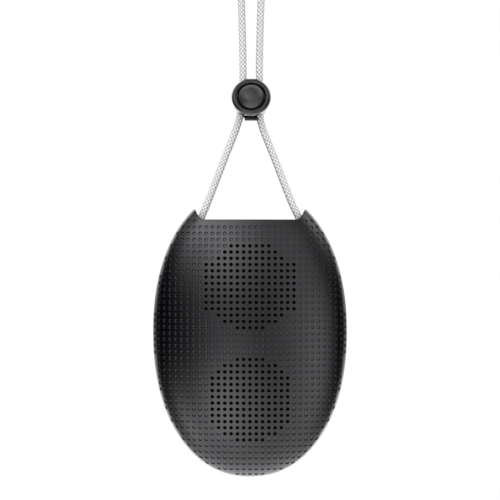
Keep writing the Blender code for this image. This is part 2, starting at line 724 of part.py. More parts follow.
def coil_spring(name, centre, start, end, look):
    """A round-wire compression spring along Y, swept as a closed tube."""
    per_turn = 14
    sides = 6
    count = round(SPRING_TURNS * per_turn)
    bm = bmesh.new()
    rings = []
    for i in range(count + 1):
        turn = math.tau * SPRING_TURNS * i / count
        y = start + (end - start) * i / count
        out = Vector((math.cos(turn), 0.0, math.sin(turn)))
        ring = []
        for side in range(sides):
            around = math.tau * side / sides
            offset = out * (math.cos(around) * SPRING_WIRE)
            offset.y += math.sin(around) * SPRING_WIRE
            ring.append(bm.verts.new(out * SPRING_RADIUS + Vector((0.0, y, 0.0)) + offset))
        rings.append(ring)
    bridge_loops(bm, rings)
    bm.faces.new(rings[0])
    bm.faces.new(rings[-1])
    return add_object(name, bm, look, centre, 60.0)


# ---- drivers ------------------------------------------------------------------------------
def cloth_disc(name, centre_z, look):
    """Dust cloth that follows the inside of the front shell behind a grille."""
    rings = 4
    bm = bmesh.new()
    layers = []
    for inset in (WALL + CLOTH_GAP, WALL + CLOTH_GAP + CLOTH_THICKNESS):
        loops = []
        for ring in range(1, rings + 1):
            loop = circle_points(CLOTH_RADIUS * ring / rings, ROUND, (0.0, centre_z))
            loops.append([bm.verts.new((x, front_y(x, z, inset), z)) for x, z in loop])
        middle = bm.verts.new((0.0, front_y(0.0, centre_z, inset), centre_z))
        for i in range(ROUND):
            bm.faces.new((middle, loops[0][i], loops[0][(i + 1) % ROUND]))
        bridge_loops(bm, loops)
        layers.append(loops[-1])
    bridge_loops(bm, layers)
    add_object(name, bm, look)


def make_baffle():
    """The plate that carries both drivers: a smaller copy of the outline, cut off at the top."""
    plastic = material("baffle_plastic", (0.06, 0.06, 0.065), 0.55)
    points = [(x, min(z, BAFFLE_TOP_Z))
              for x, z in outline(BAFFLE_HALF_WIDTH, BAFFLE_HALF_HEIGHT, 48)]
    kept = []
    for before, point, after in zip(points[-1:] + points[:-1], points, points[1:] + points[:1]):
        if not before[1] == point[1] == after[1] == BAFFLE_TOP_Z:
            kept.append(point)
    back = BAFFLE_FRONT_Y + BAFFLE_THICKNESS
    baffle = prism("speaker_baffle", kept, BAFFLE_FRONT_Y, back, plastic)
    for name, z in DRIVERS.items():
        hole = prism(f"driver_hole_{name}", circle_points(DRIVER_HOLE_RADIUS, 28), -BEYOND,
                     BEYOND, plastic, (0.0, 0.0, z))
        combine(baffle, make_cutter(hole))
        for number, (x, up) in enumerate(driver_screw_places()):
            pilot = prism(f"pilot_{name}_{number}", circle_points(DRIVER_PILOT_RADIUS, 8), -BEYOND,
                          BEYOND, plastic, (x, 0.0, z + up))
            combine(baffle, make_cutter(pilot))
    for spot, (x, z) in SCREW_SPOTS.items():
        bore = prism(f"baffle_bore_{spot}", circle_points(BOSS_BORE, SMALL), -BEYOND, BEYOND,
                     plastic, (x, 0.0, z))
        combine(baffle, make_cutter(bore))


def driver_screw_places():
    """Two screws on each driver, on a diagonal, from the driver's centre."""
    reach = DRIVER_SCREW_RING * math.sqrt(0.5)
    return [(-reach, reach), (reach, -reach)]


def make_driver(which, z, looks):
    """A 40 mm driver: fixed frame and magnet, and a cone that moves along Y."""
    at = (0.0, 0.0, z)
    basket = lathe(f"{which}_basket", BASKET, looks["basket"], at, segments=28)
    screw = SCREW_HEAD + [(DRIVER_SCREW_RADIUS, SCREW_HEAD[-1][1]), (DRIVER_SCREW_RADIUS, 0.0),
                          (0.0, SCREW_TIP_Y)]
    for number, (x, up) in enumerate(driver_screw_places()):
        hole = prism(f"{which}_screw_hole_{number}", circle_points(BASKET_SCREW_RADIUS, 8),
                     -BEYOND, 0.0, looks["basket"], (x, 0.0, z + up))
        combine(basket, make_cutter(hole))
        turned_solid(f"{which}_screw_{number + 1}", screw, looks["screw"], (x, 0.0, z + up),
                     segments=SMALL)
    lathe(f"{which}_magnet", MAGNET, looks["magnet"], at)
    turned_solid(f"{which}_yoke", YOKE, looks["yoke"], at)
    lathe(f"{which}_voice_coil", VOICE_COIL, looks["coil"], at)
    lathe(f"{which}_cone", strip_profile(CONE_LINE, CONE_THICKNESS), looks["cone"], at)
    damper = strip_profile(damper_line(), SUSPENSION_THICKNESS)
    lathe(f"{which}_damper", damper, looks["damper"], at)
    surround = strip_profile(surround_line(), SUSPENSION_THICKNESS)
    lathe(f"{which}_surround", surround, looks["surround"], at)
    steps = 4
    front = [(DUST_CAP_RADIUS * i / steps, DUST_CAP_Y - DUST_CAP_RISE * (1 - (i / steps) ** 2))
             for i in range(steps + 1)]
    back = [(radius, y + SUSPENSION_THICKNESS) for radius, y in reversed(front)]
    turned_solid(f"{which}_dust_cap", front + back, looks["cap"], at)


def damper_line():
    """The damper's zigzag, from the coil out to the basket."""
    start, end = DAMPER_RADII
    steps = 4
    return [(start + (end - start) * i / steps, DAMPER_Y + DAMPER_WAVE * (i % 2))
            for i in range(steps + 1)]


def surround_line():
    """The surround: a flat inner edge, a half roll towards the front and a flat outer edge."""
    middle, level = ROLL_MIDDLE
    steps = 4
    roll = []
    for i in range(steps + 1):
        turn = math.pi * (1 - i / steps)
        roll.append((middle + ROLL_HALF_WIDTH * math.cos(turn), level - ROLL_HEIGHT * math.sin(turn)))
    inner, outer = SURROUND_RADII
    return [(inner, level)] + roll + [(outer, level)]


def make_drivers():
    cloth = material("grille_cloth_weave", (0.01, 0.01, 0.01), 0.95)
    looks = {
        "basket": material("basket_steel", (0.30, 0.31, 0.32), 0.45, 1.0),
        "screw": material("screw_zinc", (0.55, 0.55, 0.56), 0.3, 1.0),
        "magnet": material("magnet_ferrite", (0.03, 0.03, 0.035), 0.6),
        "yoke": material("yoke_steel", (0.50, 0.51, 0.52), 0.35, 1.0),
        "damper": material("damper_cloth", (0.45, 0.30, 0.08), 0.9),
        "coil": material("voice_coil_copper", (0.72, 0.33, 0.16), 0.35, 1.0),
        "cone": material("cone_paper", (0.03, 0.03, 0.03), 0.85),
        "surround": material("surround_rubber", (0.015, 0.015, 0.015), 0.6),
        "cap": material("dust_cap_paper", (0.02, 0.02, 0.02), 0.5),
    }
    for which, z in DRIVERS.items():
        cloth_disc(f"{which}_grille_cloth", z, cloth)
        make_driver(which, z, looks)


# ---- electronics and rear fittings --------------------------------------------------------
def make_electronics():
    laminate = material("main_board_laminate", (0.01, 0.08, 0.03), 0.5)
    chip = material("chip_epoxy", (0.015, 0.015, 0.016), 0.5)
    shield = material("module_shield", (0.70, 0.71, 0.72), 0.3, 1.0)
    wrap = material("battery_wrap", (0.55, 0.57, 0.60), 0.45)
    foam = material("battery_foam_grey", (0.10, 0.10, 0.10), 0.95)
    lead_look = material("lead_insulation", (0.50, 0.02, 0.02), 0.5)

    board_back = BOARD_Y + PCB
    box("main_board", BOARD_SIZE, laminate, (0.0, BOARD_Y + PCB / 2, BOARD_Z))
    for name, size, (x, z), look in (("amplifier_chip", CHIP_SIZE, CHIP_SPOT, chip),
                                     ("wireless_module", MODULE_SIZE, MODULE_SPOT, shield)):
        box(name, size, look, (x, board_back + CLEARANCE + size[1] / 2, z))
    make_usb_socket(board_back + CLEARANCE)
    box("battery", BATTERY_SIZE, wrap, BATTERY_PLACE, BATTERY_EDGE)
    box("battery_foam", FOAM_SIZE, foam, FOAM_PLACE)
    lead_points = [(LEAD_X, y, z) for y, z in LEAD_LINE]
    cord_tube("battery_lead", lead_points, lead_look, LEAD_RADIUS, 0.0040)


def make_usb_socket(start):
    """A rounded metal shell, open towards the back and closed on the board's side."""
    steel = material("usb_steel", (0.75, 0.75, 0.75), 0.25, 1.0)
    shell = rounded_rectangle(*SOCKET_SIZE, SOCKET_CORNER)
    socket = prism("usb_socket", shell, start, SOCKET_MOUTH_Y, steel, (0.0, 0.0, PORT_Z))
    width, height = SOCKET_SIZE
    cavity = rounded_rectangle(width - 2 * SOCKET_WALL, height - 2 * SOCKET_WALL,
                               SOCKET_CORNER - SOCKET_WALL)
    combine(socket, make_cutter(prism("usb_cavity", cavity, start + SOCKET_FLOOR, BEYOND, steel,
                                      (0.0, 0.0, PORT_Z))))


def make_rear_fittings():
    rubber = material("port_cover_rubber", (0.02, 0.02, 0.021), 0.6)
    pad_look = material("pad_rubber", (0.025, 0.025, 0.026), 0.75)
    steel = material("case_screw_steel", (0.35, 0.35, 0.36), 0.35, 1.0)

    floor = REAR_FLAT_Y - PORT_RECESS
    hinge = Vector((0.0, REAR_FLAT_Y, PORT_Z - PORT_COVER_HEIGHT / 2))
    plate = rounded_rectangle(PORT_COVER_WIDTH, PORT_COVER_HEIGHT, PORT_COVER_CORNER)
    local_plate = [(x, z + PORT_COVER_HEIGHT / 2) for x, z in plate]
    cover = prism("port_cover", local_plate, floor + CLEARANCE - hinge.y, REAR_FLAT_Y - hinge.y,
                  rubber, hinge)
    plug = rounded_rectangle(*PORT_PLUG, PORT_PLUG_CORNER)
    plug_solid = prism("port_plug", plug, PORT_PLUG_DEPTH_Y, floor + 2 * CLEARANCE, rubber,
                       (0.0, 0.0, PORT_Z))
    combine(cover, make_cutter(plug_solid), "UNION")

    pad = rounded_rectangle(*PAD_SIZE, PAD_CORNER, 5)
    prism("rear_pad", pad, REAR_FLAT_Y + CLEARANCE, PAD_BACK_Y, pad_look, (0.0, 0.0, PAD_Z))

    seat = HEAD_SEAT_Y + CLEARANCE
    point_length = 0.0006
    screw = [(0.0, seat + 0.0017), (0.0019, seat + 0.0016), (CASE_SCREW_HEAD_RADIUS, seat + 0.0010),
             (CASE_SCREW_HEAD_RADIUS, seat), (CASE_SCREW_RADIUS, seat),
             (CASE_SCREW_RADIUS, CASE_SCREW_TIP_Y + point_length), (0.0, CASE_SCREW_TIP_Y)]
    for spot, (x, z) in SCREW_SPOTS.items():
        turned_solid(f"case_screw_{spot}", screw, steel, (x, 0.0, z), segments=SMALL)


# ---- build --------------------------------------------------------------------------------
clear_scene()
SPEAKER_CENTRE = bpy.data.objects.new("speaker_centre", None)
SPEAKER_CENTRE.location = (0.0, 0.0, -HOOK_HEIGHT)
bpy.context.collection.objects.link(SPEAKER_CENTRE)
make_case()
make_deck()
make_keys()
make_cord()
make_stopper()
make_baffle()
make_drivers()
make_electronics()
make_rear_fittings()
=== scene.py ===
"""Looks of the shower speaker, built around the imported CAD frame.

Every piece is modelled in the frame's own metres: -Y is the front, +Z is up and the origin is the
hook point at the top of the cord.  The case is drawn from its own centre, CENTRE below it.
"""

import math

import bmesh
import bpy
import numpy as np
from mathutils import Matrix, Vector
from mathutils.geometry import delaunay_2d_cdt


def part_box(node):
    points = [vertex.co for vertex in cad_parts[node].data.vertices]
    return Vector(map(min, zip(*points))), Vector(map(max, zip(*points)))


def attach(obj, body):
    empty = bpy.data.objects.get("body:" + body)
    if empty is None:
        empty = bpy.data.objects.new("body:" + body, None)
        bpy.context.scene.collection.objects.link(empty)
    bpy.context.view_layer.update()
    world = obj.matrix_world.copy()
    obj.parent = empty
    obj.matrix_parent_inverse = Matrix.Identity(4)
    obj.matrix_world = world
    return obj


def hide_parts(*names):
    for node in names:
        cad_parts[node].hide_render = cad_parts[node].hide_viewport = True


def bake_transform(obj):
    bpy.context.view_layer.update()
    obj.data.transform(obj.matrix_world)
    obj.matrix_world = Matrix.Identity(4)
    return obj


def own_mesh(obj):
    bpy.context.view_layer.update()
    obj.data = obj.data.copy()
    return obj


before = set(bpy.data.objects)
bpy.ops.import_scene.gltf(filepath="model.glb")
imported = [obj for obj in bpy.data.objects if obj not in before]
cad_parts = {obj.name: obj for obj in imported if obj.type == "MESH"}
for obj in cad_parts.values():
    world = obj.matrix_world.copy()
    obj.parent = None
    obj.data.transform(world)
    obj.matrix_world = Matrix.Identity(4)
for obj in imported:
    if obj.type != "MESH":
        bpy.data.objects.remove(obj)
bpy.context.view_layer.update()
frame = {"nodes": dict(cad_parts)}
nodes = frame["nodes"]

# ---- sizes shared with the CAD model --------------------------------------------------------
front_low, front_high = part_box("front_shell")
HALF_WIDTH = front_high.x
HALF_HEIGHT = 0.0724
CENTRE = Vector((0.0, 0.0, front_low.z + HALF_HEIGHT))
OUTLINE_POWER = 2.17
WALL = 0.0022
SEAM_GAP = 0.0003
FRONT_DEPTH = 0.0134
FRONT_POWER = 1.8
REAR_DEPTH = 0.0245
REAR_POWER = 2.6
REAR_FLAT_Y = 0.0230
NOTCH_FLOOR_Z = 0.0560
NOTCH_FLAT_HALF = 0.0219
NOTCH_RADIUS = 0.0050
NOTCH_TURN = math.radians(68.0)
SCREW_SPOTS = ((-0.0330, 0.0300), (0.0330, 0.0300), (-0.0330, -0.0360), (0.0330, -0.0360))
BAFFLE_BACK_Y = -0.0012
HEAD_SEAT_Y = 0.0095
HEAD_BORE = 0.0027
SCREW_BORE = 0.0015
BOSS_RADIUS = 0.0038
PORT_Z = 0.0120
PORT_RECESS = 0.0012
PAD_Z = -0.0180

# ---- the moulded pattern ----------------------------------------------------------------------
PITCH = 0.003114            # spacing of holes and dimples, measured along the surface
TOP_HOLE_ROW_Z = 0.0429
HOLE_RADIUS = 0.00090
HOLE_CHAMFER = 0.00010
HOLE_LIP_DEPTH = 0.00012
DIMPLE_RADIUS = 0.00092
DIMPLE_DEPTH = 0.00060
DIMPLE_WALL = (             # share of the radius, share of the depth, lean of the wall in degrees
    (0.99, 0.08, 70.0), (0.87, 0.86, 74.0), (0.79, 0.98, 24.0), (0.50, 1.00, 2.0),
)
FLAT_RING = 0.00110         # radius of the level collar around each hole and dimple
RING_SIDES = 12
NOTCH_MARGIN = 0.0022       # least distance from a hole's or dimple's centre to the notch
RIM_MARGIN = 0.0013         # and to the rest of the case's edge
LOOSE_GAP = 0.0003          # room kept round each free point of the sheet
LOOSE_EDGE_GAP = 0.00035
EDGE_FOLLOWERS = (0.0004, 0.0010)   # how far inside the edge two rows of free points run
GRID_ROWS = range(-8, 46)   # rows and columns that are tried; those off the case are dropped
GRID_COLUMNS = range(-26, 27)
EDGE_ROUND = 0.0004
RIM_INSET = 0.00006
HORN_ROUND = 0.0007
GRILLES = {                 # row of the first holes, then how many holes each row has
    "upper": (0, [7, 9, 11] + [15] * 8 + [11, 9, 5]),
    "lower": (18, [5, 9, 11] + [13] * 8 + [11, 9, 5]),
}


class Dome:
    """Half of the case, mapped from a flat sheet of arc lengths: s across and t up."""

    SECTION_STEPS = 97
    MERIDIAN_STEPS = 6001
    CROWN_BLEND = 0.0012

    def __init__(self, depth, power, facing, flat=None, inset=0.0):
        self.power, self.facing, self.inset = power, facing, inset
        self.depth = depth - inset
        self.half_width = HALF_WIDTH - inset
        self.half_height = HALF_HEIGHT - inset
        self.flat = None if flat is None else flat - inset
        turn = np.linspace(-math.pi / 2, math.pi / 2, self.MERIDIAN_STEPS)
        self.z_table = self.half_height * np.sin(turn)
        height = self.height(np.zeros_like(self.z_table), self.z_table)
        steps = np.hypot(np.diff(self.z_table), np.diff(height))
        self.t_table = np.concatenate([[0.0], np.cumsum(steps)])
        self.t_table -= np.interp(0.0, self.z_table, self.t_table)

    def rho(self, x, z):
        across = np.abs(x / self.half_width) ** OUTLINE_POWER
        up = np.abs(z / self.half_height) ** OUTLINE_POWER
        return (across + up) ** (1.0 / OUTLINE_POWER)

    def raised(self, x, z):
        """Height of the full dome, before its crown is flattened."""
        inside = np.clip(1.0 - self.rho(x, z) ** self.power, 0.0, None)
        return self.depth * inside ** (1.0 / self.power)

    def height(self, x, z):
        raised = self.raised(x, z)
        if self.flat is None:
            return raised
        share = self.crown_share(raised)
        blended = raised * (1 - share) + self.flat * share
        return blended - self.CROWN_BLEND * share * (1 - share) / 2

    def crown_share(self, raised):
        """1 where the flat crown rules, 0 on the dome, with a short blend between."""
        if self.flat is None:
            return np.zeros_like(raised)
        return np.clip(0.5 + 0.5 * (raised - self.flat) / self.CROWN_BLEND, 0.0, 1.0)

    def place(self, x, z):
        """Points in space over the plane places (x, z)."""
        x, z = np.asarray(x, float), np.asarray(z, float)
        return np.stack([x, self.facing * self.height(x, z), z], -1)

    def normal(self, points):
        """Outward unit normals at points on the dome."""
        x, z = points[:, 0], points[:, 2]
        power = OUTLINE_POWER - 1.0
        rho = np.clip(self.rho(x, z), 1e-6, 1.0)
        shrink = rho ** (self.power - OUTLINE_POWER)
        nx = shrink * np.sign(x) * np.abs(x / self.half_width) ** power / self.half_width
        nz = shrink * np.sign(z) * np.abs(z / self.half_height) ** power / self.half_height
        raised = self.raised(x, z)
        ny = (raised / self.depth) ** (self.power - 1.0) / self.depth
        normals = np.stack([nx, self.facing * ny, nz], 1)
        normals /= np.maximum(np.linalg.norm(normals, axis=1, keepdims=True), 1e-12)
        share = self.crown_share(raised)[:, None]
        normals = normals * (1 - share) + np.array([0.0, self.facing, 0.0]) * share
        return normals / np.linalg.norm(normals, axis=1, keepdims=True)

    def edge_x(self, z):
        left = np.clip(1.0 - np.abs(z / self.half_height) ** OUTLINE_POWER, 0.0, None)
        return self.half_width * left ** (1.0 / OUTLINE_POWER)

    def sections(self, z):
        """x places and arc lengths along the horizontal section at each height."""
        turn = np.linspace(0.0, math.pi / 2, self.SECTION_STEPS)[None, :]
        x = self.edge_x(z)[:, None] * np.sin(turn)
        y = self.height(x, np.broadcast_to(z[:, None], x.shape))
        steps = np.hypot(np.diff(x, axis=1), np.diff(y, axis=1))
        arc = np.concatenate([np.zeros((len(z), 1)), np.cumsum(steps, axis=1)], axis=1)
        return x, arc

    def surface(self, sheet_points):
        """Points in space of an (n, 2) array of sheet places (s, t)."""
        s, t = sheet_points[:, 0], sheet_points[:, 1]
        z = np.interp(t, self.t_table, self.z_table)
        x, arc = self.sections(z)
        reach = np.minimum(np.abs(s), arc[:, -1])
        found = np.clip((arc < reach[:, None]).sum(axis=1), 1, self.SECTION_STEPS - 1)
        rows = np.arange(len(s))
        low, high = arc[rows, found - 1], arc[rows, found]
        share = (reach - low) / np.maximum(high - low, 1e-12)
        across = x[rows, found - 1] * (1 - share) + x[rows, found] * share
        return self.place(across * np.sign(s), z)

    def sheet(self, x, z):
        """Sheet places of the plane places (x, z)."""
        x, z = np.asarray(x, float), np.asarray(z, float)
        t = np.interp(z, self.z_table, self.t_table)
        xs, arcs = self.sections(z)
        s = np.array([np.interp(abs(a), row, arc) for a, row, arc in zip(x, xs, arcs)])
        return np.stack([s * np.sign(x), t], 1)

    def ring_shapes(self, centres, sides):
        """Unit rings on the sheet that are round in space, one for each sheet centre."""
        step = 2e-5
        along_s = (self.surface(centres + [step, 0]) - self.surface(centres - [step, 0])) / step / 2
        along_t = (self.surface(centres + [0, step]) - self.surface(centres - [0, step])) / step / 2
        stretch = np.linalg.norm(along_s, axis=1, keepdims=True)
        first = along_s / stretch
        lean = (along_t * first).sum(axis=1, keepdims=True)
        second = along_t - first * lean
        rise = np.linalg.norm(second, axis=1, keepdims=True)
        turn = (np.arange(sides) + 0.5) * math.tau / sides
        up = np.sin(turn)[None, :] / rise
        across = (np.cos(turn)[None, :] - lean * up) / stretch
        return np.stack([across, up], 2)


FRONT = Dome(FRONT_DEPTH, FRONT_POWER, -1)
FRONT_INSIDE = Dome(FRONT_DEPTH, FRONT_POWER, -1, inset=WALL)
REAR = Dome(REAR_DEPTH, REAR_POWER, 1, REAR_FLAT_Y)
REAR_INSIDE = Dome(REAR_DEPTH, REAR_POWER, 1, REAR_FLAT_Y, inset=WALL)


def smoothstep(value):
    value = np.clip(value, 0.0, 1.0)
    return value * value * (3.0 - 2.0 * value)


def round_corner(before, corner, after, radius, steps=6):
    """Points of an arc that rounds the corner of a polyline."""
    corner = Vector(corner)
    back, on = (Vector(before) - corner).normalized(), (Vector(after) - corner).normalized()
    half = math.acos(max(-1.0, min(1.0, back.dot(on)))) / 2
    reach = radius / math.tan(half)
    start, end = corner + back * reach, corner + on * reach
    centre = corner + (back + on).normalized() * (radius / math.sin(half))
    points = []
    for i in range(steps + 1):
        mixed = start.lerp(end, i / steps) - centre
        points.append(tuple(centre + mixed.normalized() * radius))
    return points


def outline(turn):
    """A point of the case's outline, at a turn counted from +X."""
    across, up = math.cos(turn), math.sin(turn)
    power = 2.0 / OUTLINE_POWER
    return (HALF_WIDTH * math.copysign(abs(across) ** power, across),
            HALF_HEIGHT * math.copysign(abs(up) ** power, up))


def case_loop():
    """The case's edge seen from the front, and 1 along the notch or 0 round the outline."""
    steps = 10
    corner = []
    for i in range(steps + 1):
        turn = NOTCH_TURN * i / steps
        corner.append((NOTCH_FLAT_HALF + NOTCH_RADIUS * math.sin(turn),
                       NOTCH_FLOOR_Z + NOTCH_RADIUS * (1 - math.cos(turn))))
    start_x, start_z = corner[-1]
    reach = 0.0
    x, z = start_x, start_z
    while (x / HALF_WIDTH) ** OUTLINE_POWER + (z / HALF_HEIGHT) ** OUTLINE_POWER < 1.0:
        reach += 1e-5
        x = start_x + reach * math.cos(NOTCH_TURN)
        z = start_z + reach * math.sin(NOTCH_TURN)
    horn_turn = math.acos((x / HALF_WIDTH) ** (OUTLINE_POWER / 2))
    beyond = outline(horn_turn - 0.02)
    horn = round_corner((start_x, start_z), (x, z), beyond, HORN_ROUND)
    first_turn = horn_turn - 0.032      # just past the rounded horn
    last_turn = -math.pi / 2
    rim_steps, floor_steps = 190, 16
    rim_half = [outline(first_turn + (last_turn - first_turn) * i / rim_steps)
                for i in range(rim_steps + 1)]
    floor_half = [(NOTCH_FLAT_HALF * i / floor_steps, NOTCH_FLOOR_Z) for i in range(floor_steps)]
    half = floor_half + corner + horn + rim_half
    on_notch = [1.0] * (len(floor_half) + len(corner))
    on_notch += [1.0 - i / (len(horn) - 1) for i in range(len(horn))]
    on_notch += [0.0] * len(rim_half)
    left = [(-x, z) for x, z in reversed(half[1:-1])]
    points = np.array(half + left)
    weight = np.array(on_notch + list(reversed(on_notch[1:-1])))
    return points, weight


LOOP, LOOP_ON_NOTCH = case_loop()


def inward_from(loop):
    """Unit directions that point into a closed polyline from each of its points."""
    along = np.roll(loop, -1, axis=0) - np.roll(loop, 1, axis=0)
    along /= np.linalg.norm(along, axis=1, keepdims=True)
    inward = np.stack([along[:, 1], -along[:, 0]], 1)
    area = (loop[:, 0] * np.roll(loop[:, 1], -1) - np.roll(loop[:, 0], -1) * loop[:, 1]).sum()
    return inward if area < 0 else -inward


LOOP_INWARD = inward_from(LOOP)


def inside_polygon(places, polygon):
    """Which of the (n, 2) places lie inside a closed polygon."""
    x, y = places[:, 0][:, None], places[:, 1][:, None]
    x1, y1 = polygon[:, 0], polygon[:, 1]
    x2, y2 = np.roll(x1, -1), np.roll(y1, -1)
    crosses = (y1 > y) != (y2 > y)
    with np.errstate(divide="ignore", invalid="ignore"):
        crossing = x1 + (y - y1) * (x2 - x1) / (y2 - y1)
    return (crosses & (x < crossing)).sum(axis=1) % 2 == 1


def distance_to_loop(places, loop):
    """How far each place is from a closed polyline."""
    start = loop[None, :, :]
    run = np.roll(loop, -1, axis=0)[None, :, :] - start
    away = places[:, None, :] - start
    share = np.clip((away * run).sum(axis=2) / np.maximum((run ** 2).sum(axis=2), 1e-18), 0, 1)
    return np.linalg.norm(away - run * share[:, :, None], axis=2).min(axis=1)


class Skin:
    """Vertices, their normals and the faces of one closed shell, gathered ring by ring."""

    def __init__(self):
        self.points, self.normals, self.faces = [], [], []
        self.size = 0

    def add(self, points, normals):
        """Adds points and returns their numbers."""
        self.points.append(np.asarray(points, float))
        self.normals.append(np.asarray(normals, float))
        first, self.size = self.size, self.size + len(points)
        return list(range(first, self.size))

    def bridge(self, first, second):
        for i in range(len(first)):
            j = (i + 1) % len(first)
            self.faces.append((first[i], first[j], second[j], second[i]))

    def fan(self, ring, middle):
        for i in range(len(ring)):
            self.faces.append((ring[i], ring[(i + 1) % len(ring)], middle))

    def fill(self, places, boundary, rings, loose):
        """Triangulates the sheet inside its boundary and outside its rings.

        `places` maps each vertex number to its sheet place.
        """
        used = list(boundary) + [v for ring in rings for v in ring] + list(loose)
        owner = np.full(len(used), -1)
        owner[:len(boundary)] = -2
        edges = []
        first = 0
        for number, ring in enumerate([boundary] + list(rings)):
            count = len(ring)
            edges += [(first + i, first + (i + 1) % count) for i in range(count)]
            if number:
                owner[first:first + count] = number
            first += count
        flat = np.array([places[v] for v in used])
        scaled = flat * 1000.0      # millimetres, so that the tolerance stays well below a feature
        found = delaunay_2d_cdt([Vector(p) for p in scaled], edges, [], 0, 1e-7, True)
        origins = np.array([
            ids[0] if ids else np.linalg.norm(scaled - np.array(place), axis=1).argmin()
            for place, ids in zip(found[0], found[3])])
        triangles = origins[np.array(found[2])]
        distinct = np.array([len(set(triangle)) == 3 for triangle in triangles.tolist()])
        triangles = triangles[distinct]
        owners = owner[triangles]
        same = (owners[:, 0] == owners[:, 1]) & (owners[:, 1] == owners[:, 2])
        drop = same & (owners[:, 0] > 0)
        edge_only = np.nonzero(same & (owners[:, 0] == -2))[0]
        centres = flat[triangles[edge_only]].mean(axis=1)
        drop[edge_only] = ~inside_polygon(centres, flat[:len(boundary)])
        self.faces.extend(tuple(used[v] for v in triangle) for triangle in triangles[~drop])


def finish_skin(name, skin, look):
    """Makes the object, turns its faces to agree with the normals given, and shades it smooth."""
    points = np.concatenate(skin.points)
    normals = np.concatenate(skin.normals)
    corners = np.array([face if len(face) == 4 else face + (face[2],) for face in skin.faces])
    across = np.cross(points[corners[:, 2]] - points[corners[:, 0]],
                      points[corners[:, 3]] - points[corners[:, 1]])
    triangle = corners[:, 2] == corners[:, 3]
    across[triangle] = np.cross(points[corners[triangle, 1]] - points[corners[triangle, 0]],
                                points[corners[triangle, 2]] - points[corners[triangle, 0]])
    agrees = (across * normals[corners].sum(axis=1)).sum(axis=1) >= 0
    faces = [face if keep else face[::-1] for face, keep in zip(skin.faces, agrees)]
    made = make_object(name, points, faces, look)
    made.data.normals_split_custom_set_from_vertices(normals.tolist())
    return made


def make_object(name, points, faces, look, place=None, sharp=None):
    """A smooth-shaded mesh object, drawn from the case's centre unless another place is given."""
    mesh = bpy.data.meshes.new(name)
    mesh.from_pydata(np.asarray(points, float).tolist(), [], faces)
    return link_mesh(name, mesh, look, CENTRE if place is None else place, sharp)


def link_mesh(name, mesh, look, place, sharp):
    """Puts a mesh in the scene; edges steeper than `sharp` degrees stay crisp."""
    mesh.shade_smooth()
    if sharp is not None:
        mesh.set_sharp_from_angle(angle=math.radians(sharp))
    mesh.materials.append(look)
    made = bpy.data.objects.new(name, mesh)
    made.location = place
    bpy.context.scene.collection.objects.link(made)
    return made


def top_row(dome):
    """Where the first row of holes lies on a dome's sheet."""
    return dome.sheet([0.0], [TOP_HOLE_ROW_Z])[0, 1]


def outside_boxes(places, dome, boxes):
    """Which sheet places lie outside all boxes, each (x, z, half width, half height)."""
    kept = np.ones(len(places), bool)
    for x, z, reach_x, reach_z in boxes:
        apart = np.abs(places - dome.sheet([x], [z])[0])
        kept &= (apart[:, 0] > reach_x) | (apart[:, 1] > reach_z)
    return kept


def sheet_lattice(dome, boundary):
    """Sheet places and (row, column) of all holes and dimples that fit inside the boundary."""
    top = top_row(dome)
    grid = np.array([(row, column) for row in GRID_ROWS for column in GRID_COLUMNS])
    places = np.stack([grid[:, 1] * PITCH, top - grid[:, 0] * PITCH], 1)
    kept = inside_polygon(places, boundary)
    places, grid = places[kept], grid[kept]
    margin = RIM_MARGIN + (NOTCH_MARGIN - RIM_MARGIN) * LOOP_ON_NOTCH
    fine = [boundary * (1 - share) + np.roll(boundary, -1, axis=0) * share
            for share in (0.0, 0.34, 0.67)]
    room = np.min([(np.linalg.norm(places[:, None] - edge[None], axis=2) - margin).min(axis=1)
                   for edge in fine], axis=0)
    return places[room > 0], grid[room > 0]


def is_hole(row, column):
    for first, counts in GRILLES.values():
        if 0 <= row - first < len(counts):
            return abs(column) <= (counts[row - first] - 1) // 2
    return False


def add_rings(skin, dome, centres, shapes, radius, depth, lean):
    """One ring per feature at a radius and depth; lean tilts the normals towards the middle."""
    count, sides = shapes.shape[:2]
    flat = (centres[:, None] + shapes * radius).reshape(-1, 2)
    points = dome.surface(flat).reshape(count, sides, 3)
    middle = dome.surface(centres)[:, None]
    facing = dome.normal(middle[:, 0])[:, None]
    outward = points - middle
    outward /= np.linalg.norm(outward, axis=2, keepdims=True)
    normals = facing * math.cos(lean) - outward * math.sin(lean)
    if lean == 0.0:
        normals = dome.normal(points.reshape(-1, 3)).reshape(points.shape)
    points = points - facing * depth
    numbers = skin.add(points.reshape(-1, 3), normals.reshape(-1, 3))
    rings = [numbers[i * sides:(i + 1) * sides] for i in range(count)]
    return rings, dict(zip(numbers, flat))


def bridge_all(skin, first, second):
    for one, other in zip(first, second):
        skin.bridge(one, other)


def add_dimples(skin, dome, centres, sides):
    """Shallow dimples with steep walls; gives back their collar rings and the rings' sheet places."""
    shapes = dome.ring_shapes(centres, sides)
    collars, places = add_rings(skin, dome, centres, shapes, FLAT_RING, 0.0, 0.0)
    previous = collars
    edge, _ = add_rings(skin, dome, centres, shapes, DIMPLE_RADIUS * 1.05, 0.0, 0.0)
    bridge_all(skin, previous, edge)
    previous = edge
    for share, drop, lean in DIMPLE_WALL:
        ring, _ = add_rings(skin, dome, centres, shapes, DIMPLE_RADIUS * share,
                            DIMPLE_DEPTH * drop, math.radians(lean))
        bridge_all(skin, previous, ring)
        previous = ring
    middle = dome.surface(centres)
    normals = dome.normal(middle)
    floors = skin.add(middle - normals * DIMPLE_DEPTH, normals)
    for ring, floor in zip(previous, floors):
        skin.fan(ring, floor)
    return collars, places


